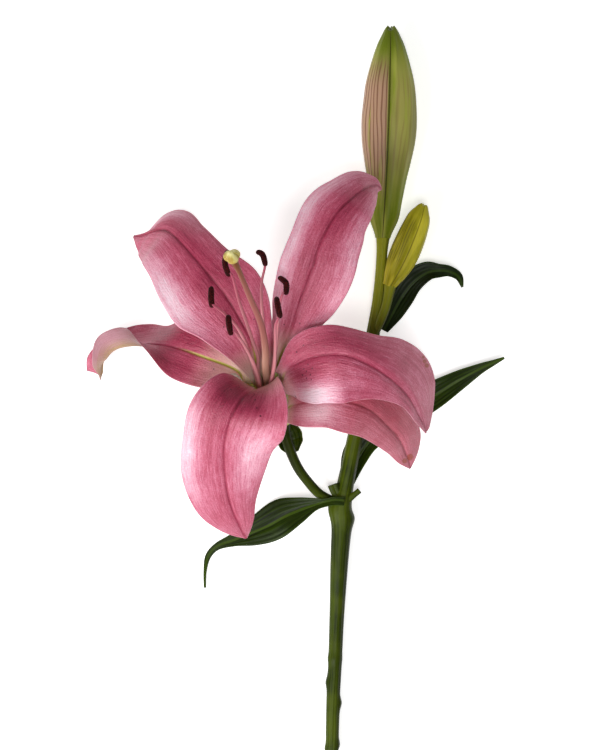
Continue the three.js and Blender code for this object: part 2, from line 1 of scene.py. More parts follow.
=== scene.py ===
"""The looks of a cut lily that lies on a pale floor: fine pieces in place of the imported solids.

Every piece stands where its solid does. The rows of numbers are in millimetres, like the
solids', and the meshes are made in metres. +X runs across the stem, +Y along it towards the
buds and +Z up.
"""

import math

import bpy
import numpy as np
from mathutils.kdtree import KDTree
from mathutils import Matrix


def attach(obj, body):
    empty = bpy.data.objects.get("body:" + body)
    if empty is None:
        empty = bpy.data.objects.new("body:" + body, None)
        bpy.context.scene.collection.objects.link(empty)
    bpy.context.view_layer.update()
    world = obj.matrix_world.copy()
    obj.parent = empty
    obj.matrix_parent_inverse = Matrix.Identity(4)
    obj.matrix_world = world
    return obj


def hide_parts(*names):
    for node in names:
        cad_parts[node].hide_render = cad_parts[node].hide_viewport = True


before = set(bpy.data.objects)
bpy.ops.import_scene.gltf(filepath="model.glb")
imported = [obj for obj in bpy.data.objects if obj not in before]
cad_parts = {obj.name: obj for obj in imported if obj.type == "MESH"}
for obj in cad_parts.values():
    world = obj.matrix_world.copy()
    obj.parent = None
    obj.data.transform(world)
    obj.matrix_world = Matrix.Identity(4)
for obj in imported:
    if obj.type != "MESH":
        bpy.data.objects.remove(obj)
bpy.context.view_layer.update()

METRES = 0.001
NOISE_CELLS = 128
CALM_PASSES = 180

# ---------------------------------------------------------------- the bloom's own measures

RECEPTACLE = np.array([-8, -10.5, 24])
BLOOM_AXIS = np.array([-0.2, 0.44, 0.875]) / np.linalg.norm([-0.2, 0.44, 0.875])
RECEPTACLE_RADIUS = 8.8
INNER_CLAW_RADIUS = 5.8
OUTER_CLAW_RADIUS = 8.1
CLAW_HEIGHTS = [0.5, 10, 20, 30]
CLAW_FLARE = [1, 1.04, 1.15, 1.37]
CLAW_HALF_ANGLE = 44
FILAMENT_RING = 4.1
OVARY_RADIUS = 2.3
OVARY_LENGTH = 26
CLEAR = 0.4
STAMEN_FOOT_HEIGHTS = (CLEAR, 10, 20, 27)


def unit(vectors):
    vectors = np.asarray(vectors, float)
    return vectors / np.linalg.norm(vectors, axis=-1, keepdims=True)


BLOOM_TOP = unit(np.array([0, 1, 0]) - BLOOM_AXIS * BLOOM_AXIS[1])
BLOOM_SIDE = unit(np.cross(BLOOM_TOP, BLOOM_AXIS))


def in_bloom(height, radius, angle):
    """A place in the bloom: height along its axis, radius and angle in degrees round it."""
    turn = math.radians(angle)
    outwards = BLOOM_SIDE * math.cos(turn) + BLOOM_TOP * math.sin(turn)
    return RECEPTACLE + BLOOM_AXIS * height + outwards * radius


# ---------------------------------------------------------------- smooth rows and noise


def smooth_rows(rows, places):
    """Smooth values at places from 0 to 1 along equally spaced rows."""
    rows = np.asarray(rows, float)
    last = len(rows) - 1
    place = np.clip(places, 0, 1) * last
    first = np.minimum(np.floor(place).astype(int), last - 1)
    part = (place - first)[:, None]
    before = rows[np.maximum(first - 1, 0)]
    here = rows[first]
    following = rows[first + 1]
    after = rows[np.minimum(first + 2, last)]
    slope_here = (following - before) / 2
    slope_next = (after - here) / 2
    rise = following - here
    square = 3 * rise - 2 * slope_here - slope_next
    cube = slope_here + slope_next - 2 * rise
    return here + part * (slope_here + part * (square + part * cube))


def lengths(row):
    """How far along the line each of its points is."""
    gaps = np.linalg.norm(np.diff(row[:, :3], axis=0), axis=1)
    return np.append(0, np.cumsum(gaps))[:, None]


def headings(rows, places):
    """The direction of the line through the rows at each place."""
    ahead = smooth_rows(rows, places + 0.01)[:, :3]
    behind = smooth_rows(rows, places - 0.01)[:, :3]
    return unit(ahead - behind)


def soft_noise(x, y, seed):
    """Smooth noise from -1 to 1 over a plane, about one bump to each unit."""
    x, y = np.broadcast_arrays(np.asarray(x, float), np.asarray(y, float))
    table = np.random.default_rng(seed).uniform(-1, 1, (NOISE_CELLS, NOISE_CELLS))
    column = np.floor(x).astype(int)
    line = np.floor(y).astype(int)
    fx = x - column
    fy = y - line
    fx = fx * fx * (3 - 2 * fx)
    fy = fy * fy * (3 - 2 * fy)
    next_column = (column + 1) % NOISE_CELLS
    next_line = (line + 1) % NOISE_CELLS
    column %= NOISE_CELLS
    line %= NOISE_CELLS
    corner = table[column, line]
    east = table[next_column, line]
    north = table[column, next_line]
    far = table[next_column, next_line]
    return (corner * (1 - fx) + east * fx) * (1 - fy) + (north * (1 - fx) + far * fx) * fy


def bump(distance, spread):
    """A soft hill of height 1 at distance 0."""
    return np.exp(-((distance / spread) ** 2))


# ---------------------------------------------------------------- meshes


def settle(points):
    """Presses what would sink below the floor flat on to it."""
    points[..., 2] = np.maximum(points[..., 2], 0)
    return points


def mesh_object(name, points, quads, triangles=(), **values):
    """A smooth object from points in millimetres, with a number for each point by name."""
    mesh = bpy.data.meshes.new(name)
    corners = [tuple(map(int, quad)) for quad in quads]
    corners += [tuple(map(int, triangle)) for triangle in triangles]
    mesh.from_pydata((points * METRES).tolist(), [], corners)
    for key, value in values.items():
        layer = mesh.attributes.new(key, "FLOAT", "POINT")
        layer.data.foreach_set("value", np.asarray(value, np.float32).ravel())
    mesh.polygons.foreach_set("use_smooth", [True] * len(mesh.polygons))
    mesh.update()
    made = bpy.data.objects.new(name, mesh)
    bpy.context.scene.collection.objects.link(made)
    return made


def grid_quads(lines, columns, first=0, flip=False):
    """The squares between the points of a grid."""
    a = first + np.arange(lines - 1)[:, None] * columns + np.arange(columns - 1)
    quads = np.stack([a, a + 1, a + columns + 1, a + columns], -1).reshape(-1, 4)
    return quads[:, ::-1] if flip else quads


def skin_over(name, rings, values):
    """A closed object over a stack of rings of points, with a fan over each end."""
    count, sides = rings.shape[:2]
    points = rings.reshape(-1, 3)
    first = np.arange(count - 1)[:, None] * sides
    near = np.arange(sides)
    far = (near + 1) % sides
    quads = np.stack([first + near, first + far, first + sides + far, first + sides + near], -1)
    start, end = len(points), len(points) + 1
    points = np.vstack([points, rings[0].mean(0), rings[-1].mean(0)])
    top = (count - 1) * sides
    fans = [(start, b, a) for a, b in zip(near, far)]
    fans += [(end, top + a, top + b) for a, b in zip(near, far)]
    values = {
        key: np.append(value.reshape(-1), [value[0].mean(), value[-1].mean()])
        for key, value in values.items()
    }
    return mesh_object(name, points, quads.reshape(-1, 4), fans, **values)


def piece(made, node, material):
    """Puts an object in the place of its solid."""
    made.data.materials.append(material)
    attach(made, "root")
    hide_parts(node)


# ---------------------------------------------------------------- stalks and blades


def ring_angles(sides):
    """Angles round a ring, from its underside. Angle 0 is the +X side, a quarter turn the top."""
    return np.linspace(-math.pi / 2, 1.5 * math.pi, sides, endpoint=False)[None, :]


def stalk_rings(rows, sides, steps, relief=None):
    """Rings along rows of [x, y, z, radius]. relief(u, angle) is added to the radius."""
    u = np.linspace(0, 1, steps + 1)
    row = smooth_rows(rows, u)
    along = headings(rows, u)
    up = unit(np.cross(np.array([1.0, 0, 0]), along))
    side = np.cross(along, up)
    angle = ring_angles(sides)
    reach = row[:, 3:4] + (relief(u[:, None], angle) if relief else 0)
    reach = reach + np.zeros_like(angle)
    rings = row[:, None, :3] + side[:, None] * (reach * np.cos(angle))[..., None]
    rings = rings + up[:, None] * (reach * np.sin(angle))[..., None]
    places = u[:, None] + np.zeros_like(angle)
    turns = angle / (2 * math.pi) + np.zeros_like(places)
    length = lengths(row) + np.zeros_like(places)
    return settle(rings), {"place": places, "turn": turns, "along": length}


def swelling(u, angle, at, length, height, side, wide):
    """A rounded swelling on one side of a stalk."""
    along = (u - at) / length
    offset = angle - math.radians(side)
    turn = np.arctan2(np.sin(offset), np.cos(offset))
    return height * np.exp(-(along**2) - (turn / math.radians(wide)) ** 2)


def patches(u, s, ground, places):
    """A value over a blade: ground plus soft patches of [s, u, width, length, change]."""
    total = np.full(np.broadcast(u, s).shape, float(ground))
    for middle, place, wide, long, change in places:
        total += change * bump(s - middle, wide) * bump(u - place, long)
    return total


def blade(
    name,
    rows,
    steps,
    columns,
    thick,
    edge_thick,
    rib,
    lift,
    lean=None,
    calm=None,
    top_lift=None,
    tone_and_painted_light=None,
):
    """A thin closed blade along its midrib.

    A row is the midrib's place, the direction that is up there, the widths of the left and the
    right half, and how many degrees each half curls. u runs from 0 at the foot to 1 at the tip
    and s from -1, the left edge, to 1.
    lift(u, s, across, width) raises the whole blade and top_lift only its upper face, in
    millimetres. lean(u, s) moves it towards the tip, and calm(u, s) is the share by which it is
    evened out lengthwise. The last argument is a ground value and its patches: each point carries
    the sum as its depth of colour, the tepal's own tone with painted highlight and painted shade.
    """
    u = np.linspace(0, 1, steps + 1)
    t = np.linspace(-1, 1, columns + 1)
    s = (np.sign(t) * np.abs(t) ** 1.3)[None, :]
    row = smooth_rows(rows, u)
    along = headings(rows, u)
    right = unit(np.cross(along, row[:, 3:6]))
    up = np.cross(right, along)
    left = s < 0
    width = np.maximum(np.where(left, row[:, 6:7], row[:, 7:8]), 0.5)
    curl = np.radians(np.where(left, row[:, 8:9], row[:, 9:10])) + 1e-6
    turn = curl * np.abs(s)
    across = s * width
    place = u[:, None] + np.zeros_like(s)
    rise = width * (1 - np.cos(turn)) / curl + lift(place, s, across, width)
    out = np.sign(s) * width * np.sin(turn) / curl
    surface = row[:, None, :3] + right[:, None] * out[..., None] + up[:, None] * rise[..., None]
    if lean:
        surface = surface + along[:, None] * lean(place, s)[..., None]
    if calm:
        even = surface.copy()
        for _ in range(CALM_PASSES):
            even[1:-1] += 0.25 * (even[:-2] + even[2:] - 2 * even[1:-1])
        surface = surface + calm(place, s)[..., None] * (even - surface)
    normal = up[:, None] * np.cos(turn)[..., None]
    normal = normal - right[:, None] * (np.sign(s) * np.sin(turn))[..., None]
    body = np.minimum(1, width / 8)
    half = (edge_thick + (thick - edge_thick) * (1 - s**4)) / 2
    keel = rib * np.exp(-(across**2) / 6) * body
    above = half + (top_lift(place, s, across, width) if top_lift else 0)
    top = surface + normal * above[..., None]
    under = surface - normal * (half + keel)[..., None]
    top[..., 2] = np.where(under[..., 2] < 0, np.maximum(top[..., 2], thick), top[..., 2])
    settle(under)
    count = len(u) * (columns + 1)
    lines = columns + 1
    quads = [grid_quads(len(u), lines), grid_quads(len(u), lines, count, flip=True)]
    rim = list(range(columns))
    rim += [i * lines + columns for i in range(steps)]
    rim += [steps * lines + j for j in range(columns, 0, -1)]
    rim += [i * lines for i in range(steps, 0, -1)]
    for a, b in zip(rim, rim[1:] + rim[:1]):
        quads.append(np.array([[a, a + count, b + count, b]]))
    length = lengths(row) + np.zeros_like(s)
    both = {
        "across": across,
        "along": length,
        "edge": (1 - np.abs(s)) * width,
        "side": s + np.zeros_like(across),
        "place": place,
    }
    # The depth of colour: the tepal's own tone, and in its patches also painted highlight (paler) and
    # painted shade (deeper).
    if tone_and_painted_light:
        both["depth"] = patches(place, s, *tone_and_painted_light)
    values = {key: np.stack([value, value]) for key, value in both.items()}
    values["inner"] = np.stack([np.ones_like(across), np.zeros_like(across)])
    points = np.concatenate([top.reshape(-1, 3), under.reshape(-1, 3)])
    return mesh_object(name, points, np.concatenate(quads), **values)


def edge_wave(height, count, phase):
    """Gentle waves of a blade's edges, each side in its own phase."""

    def lift(u, s):
        fade = np.sin(math.pi * np.clip((u - 0.25) / 0.75, 0, 1))
        return height * fade * np.sin(2 * math.pi * count * u + phase + np.where(s < 0, 0, 2))

    return lift


# ---------------------------------------------------------------- materials


def colour(code):
    """A colour for the shaders from six hexadecimal digits."""
    parts = [((code >> shift) & 255) / 255 for shift in (16, 8, 0)]
    return (*[p / 12.92 if p < 0.04045 else ((p + 0.055) / 1.055) ** 2.4 for p in parts], 1)


class Shade:
    """One material, whose nodes are added one after another."""

    def __init__(self, name, roughness, **sockets):
        self.material = bpy.data.materials.new(name)
        self.material.use_nodes = True
        self.tree = self.material.node_tree
        self.tree.nodes.clear()
        self.surface = self.tree.nodes.new("ShaderNodeBsdfPrincipled")
        output = self.tree.nodes.new("ShaderNodeOutputMaterial")
        self.tree.links.new(self.surface.outputs[0], output.inputs[0])
        self.feed(self.surface.inputs["Roughness"], roughness)
        for key, value in sockets.items():
            self.feed(self.surface.inputs[key.replace("_", " ")], value)
        place = self.tree.nodes.new("ShaderNodeTexCoord")
        self.place = place.outputs["Object"]

    def feed(self, socket, value):
        if isinstance(value, bpy.types.NodeSocket):
            self.tree.links.new(value, socket)
        else:
            socket.default_value = value

    def add(self, kind, sockets, **settings):
        node = self.tree.nodes.new("ShaderNode" + kind)
        for key, value in settings.items():
            setattr(node, key, value)
        for key, value in sockets.items():
            self.feed(node.inputs[key], value)
        return node

    def value(self, name):
        """The number that the mesh carries under that name."""
        return self.add("Attribute", {}, attribute_name=name).outputs["Fac"]

    def math(self, operation, *values):
        return self.add("Math", dict(enumerate(values)), operation=operation).outputs[0]

    def times(self, *values):
        total = values[0]
        for value in values[1:]:
            total = self.math("MULTIPLY", total, value)
        return total

    def step(self, value, low, high, strength=1.0):
        """Rises smoothly from 0 at low to strength at high."""
        sockets = {0: value, 1: float(low), 2: float(high), 3: 0.0, 4: strength}
        return self.add("MapRange", sockets, interpolation_type="SMOOTHSTEP").outputs[0]

    def ramp(self, value, stops):
        """Colours that follow one another evenly at places from 0 to 1."""
        node = self.add("ValToRGB", {0: value})
        for k, (place, code) in enumerate(stops):
            near = node.color_ramp.elements
            stop = near[k] if k < 2 else near.new(place)
            stop.position = place
            stop.color = colour(code)
        return node.outputs[0]

    def mix(self, share, first, second):
        return self.add("Mix", {0: share, 6: first, 7: second}, data_type="RGBA").outputs[2]

    def vector(self, x, y, z=0.0):
        return self.add("CombineXYZ", {0: x, 1: y, 2: z}).outputs[0]

    def noise(self, scale, detail=2.0, vector=None, distortion=0.0, roughness=0.5):
        sockets = {
            "Vector": self.place if vector is None else vector,
            "Scale": scale,
            "Detail": detail,
            "Distortion": distortion,
            "Roughness": roughness,
        }
        return self.add("TexNoise", sockets).outputs[0]

    def streaks(self, across, along, seed=0, detail=4.0, distortion=0.3, roughness=0.6):
        """Noise drawn out along a piece. across and along are each a number and its scale."""
        place = self.vector(self.times(*across), self.times(*along), float(seed))
        return self.noise(1.0, detail, place, distortion, roughness)

    def weighted(self, *terms):
        """The sum of several numbers, each times its weight."""
        total = 0.0
        for value, weight in terms:
            total = self.math("MULTIPLY_ADD", value, weight, total)
        return total

    def spot(self, across, along, x, y, size):
        """A round spot at a place on a blade, in millimetres."""
        place = self.vector(across, along)
        away = self.add("VectorMath", {0: place, 1: (x, y, 0)}, operation="DISTANCE")
        return self.step(away.outputs["Value"], size, size * 0.55)

    def finish(self, base, height=None, depth=0.0002, strength=1.0):
        self.feed(self.surface.inputs["Base Color"], base)
        if height is not None:
            sockets = {"Strength": strength, "Distance": depth, "Height": height}
            self.feed(self.surface.inputs["Normal"], self.add("Bump", sockets).outputs[0])
        return self.material


# The tepals' colours, from the palest to the deepest. The depth of colour that picks among them
# holds the tepal's own tone, and also painted highlight towards the pale end and painted shade
# towards the deep end.
TEPAL_RAMP = [
    (0.0, 0xF6D4E0),
    (0.25, 0xE6A0B5),
    (0.45, 0xCE6F89),
    (0.6, 0xB84C67),
    (0.76, 0xA23250),
    (0.88, 0x8C223F),
    (1.0, 0x741630),
]
DEPTH_GROUND = 0.6
PALE_PINK = colour(0xF3C4D0)
# The throat's pale and green are its own colours, brightened as painted light against the shade deep
# in the throat.
THROAT_WHITE_AND_PAINTED_LIGHT = colour(0xFADCCB)
THROAT_GREEN_AND_PAINTED_LIGHT = colour(0xD2D44E)
FURROW_GREEN = colour(0xB4B04C)
OUTER_PINK = colour(0xB8838D)
OUTER_DEEP = colour(0x9A5A66)
KEEL_GREEN = colour(0xA8864A)
OUTER_BROWN = colour(0x5E342C)
WARM_ROSE = colour(0xC4706A)
SPOT = colour(0x4E0F26)
SCORCH = colour(0x9A2A0A)


def tepal_material(name, seed, throat, nectary, spots, scorches=(), keel=0.6, warm=0.0, bend=0.0):
    """Pink satin, deeper along the midrib, with fine veins, and green and pale in the throat. The
    depth of colour also holds painted highlight and painted shade, and the throat's pale and green
    are brightened as painted light.

    throat is how far the pale foot reaches and nectary the same for its green furrow. spots are
    across and along the tepal, scorches at places over the floor, all in millimetres. keel is
    how green the outer midrib is, warm how far the pink leans to rose, and bend how brown the
    outer face is before the tepal turns back.
    """
    shade = Shade(
        name,
        0.38,
        Subsurface_Weight=0.1,
        Subsurface_Radius=(1.0, 0.35, 0.4),
        Subsurface_Scale=0.0012,
        Specular_IOR_Level=0.5,
    )
    across = shade.value("across")
    along = shade.value("along")
    side = shade.value("side")
    edge = shade.value("edge")
    inner = shade.value("inner")
    depth = shade.value("depth")
    reach = shade.math("ABSOLUTE", across)
    streaks = shade.streaks((side, 15.0), (along, 0.03), seed)
    fine = shade.streaks((side, 46.0), (along, 0.16), seed, 3.0, 0.0, 0.5)
    cloud = shade.noise(110.0, 3.0)
    grain = shade.noise(1300.0, 3.0)

    # The inner face: the depth of colour, the tepal's own tone with painted highlight and painted
    # shade, streaked along the veins and lined by the midrib.
    line = shade.times(shade.step(reach, 0.9, 0.2), shade.step(along, throat * 0.9, throat * 1.6))
    total = shade.weighted(
        (depth, 1.0), (streaks, 0.5), (fine, 0.5), (cloud, 0.3), (grain, 0.35), (line, 0.22)
    )
    total = shade.math("MULTIPLY_ADD", total, 0.84, -0.64)
    pink = shade.ramp(total, TEPAL_RAMP)
    pink = shade.mix(warm, pink, WARM_ROSE)
    # Painted light: the pale and green foot are brightened to lift the shade deep in the throat.
    pink = shade.mix(shade.step(along, throat * 1.35, throat * 0.75, 0.9), pink, THROAT_WHITE_AND_PAINTED_LIGHT)
    pink = shade.mix(shade.step(along, throat * 0.85, throat * 0.4), pink, THROAT_GREEN_AND_PAINTED_LIGHT)
    furrow = shade.times(shade.step(along, nectary, nectary * 0.75), shade.step(reach, 1.0, 0.3))
    pink = shade.mix(furrow, pink, FURROW_GREEN)
    for x, y, size in spots:
        pink = shade.mix(shade.spot(across, along, x, y, size), pink, SPOT)
    if scorches:
        apart = shade.add("SeparateXYZ", {0: shade.place})
        east, north = (shade.math("DIVIDE", apart.outputs[k], METRES) for k in (0, 1))
    for x, y, size in scorches:
        mark = shade.times(shade.spot(east, north, x, y, size), shade.step(grain, 0.2, 0.45))
        pink = shade.mix(mark, pink, SCORCH)

    # The outer face: duller, with a greenish keel and green foot.
    dull = shade.mix(shade.step(fine, 0.42, 0.62, 0.5), OUTER_PINK, OUTER_DEEP)
    keel_share = shade.times(shade.step(reach, 8.0, 0.5, keel), shade.step(streaks, 0.2, 0.6))
    dull = shade.mix(keel_share, dull, KEEL_GREEN)
    dull = shade.mix(shade.step(along, throat * 1.2, throat * 0.5, 0.9), dull, THROAT_GREEN_AND_PAINTED_LIGHT)
    dull = shade.mix(shade.step(shade.value("place"), 0.74, 0.6, bend), dull, OUTER_BROWN)
    both = shade.mix(inner, dull, pink)
    both = shade.mix(shade.step(edge, 0.35, 0.05, 0.3), both, PALE_PINK)
    relief = shade.weighted((grain, 0.8), (fine, 0.9), (streaks, 0.5))
    return shade.finish(both, relief, 0.0005, 0.7)


def leaf_material(name, dark, light, vein, veins):
    """Glossy green with parallel veins."""
    shade = Shade(name, 0.36, Specular_IOR_Level=0.14)
    side = shade.value("side")
    along = shade.value("along")
    edge = shade.value("edge")
    inner = shade.value("inner")
    reach = shade.math("ABSOLUTE", shade.value("across"))
    streaks = shade.streaks((side, 9.0), (along, 0.04), 3, distortion=0.2)
    lines = shade.math("COSINE", shade.times(side, math.pi * veins))
    cloud = shade.noise(120.0, 3.0)
    grain = shade.noise(3000.0, 2.0)
    green = shade.mix(shade.step(streaks, 0.35, 0.7), dark, light)
    green = shade.mix(shade.step(cloud, 0.45, 0.75, 0.4), green, light)
    green = shade.mix(shade.step(lines, 0.75, 1.0, 0.14), green, vein)
    green = shade.mix(shade.step(reach, 0.9, 0.3, 0.6), green, vein)
    green = shade.mix(shade.step(edge, 0.5, 0.1, 0.5), green, vein)
    pale = shade.mix(0.45, green, vein)
    base = shade.mix(inner, pale, green)
    relief = shade.weighted((grain, 0.25), (lines, 0.12), (streaks, 1.0))
    return shade.finish(base, relief, 0.0003, 0.4)


# ---------------------------------------------------------------- tepals


def claw(angle, radius, count=4):
    """The first rows of a tepal: its narrow foot that wraps the stamens."""
    rows = []
    for height, flare in list(zip(CLAW_HEIGHTS, CLAW_FLARE))[:count]:
        reach = radius * flare
        foot = in_bloom(height, reach, angle)
        inward = unit(in_bloom(height, 0, 0) - foot)
        half = math.radians(CLAW_HALF_ANGLE) * reach
        rows.append([*foot, *inward, half, half, CLAW_HALF_ANGLE, CLAW_HALF_ANGLE])
    return rows


# How far some tepals' edges are drawn towards the tip, in millimetres, and where they are
# evened out.


def upper_left_lean(u, s):
    return np.where(s < 0, -13 * s * bump(u - 0.83, 0.09), 5 * s**2 * bump(u - 0.76, 0.1))


def upper_left_calm(u, s):
    return np.where(s < 0, np.abs(s) ** 1.5, 0) * bump(u - 0.8, 0.1)


def right_lean(u, s):
    return np.where(s < 0, 0, 70 * s**2 * (u - 0.52) * bump(u - 0.52, 0.1))


def right_calm(u, s):
    return np.where(s > 0, np.abs(s) ** 1.5, 0) * bump(u - 0.53, 0.1)


def left_lean(u, s):
    return np.where(s < 0, 0, 14.5 * s**2 * bump(u - 0.875, 0.09))


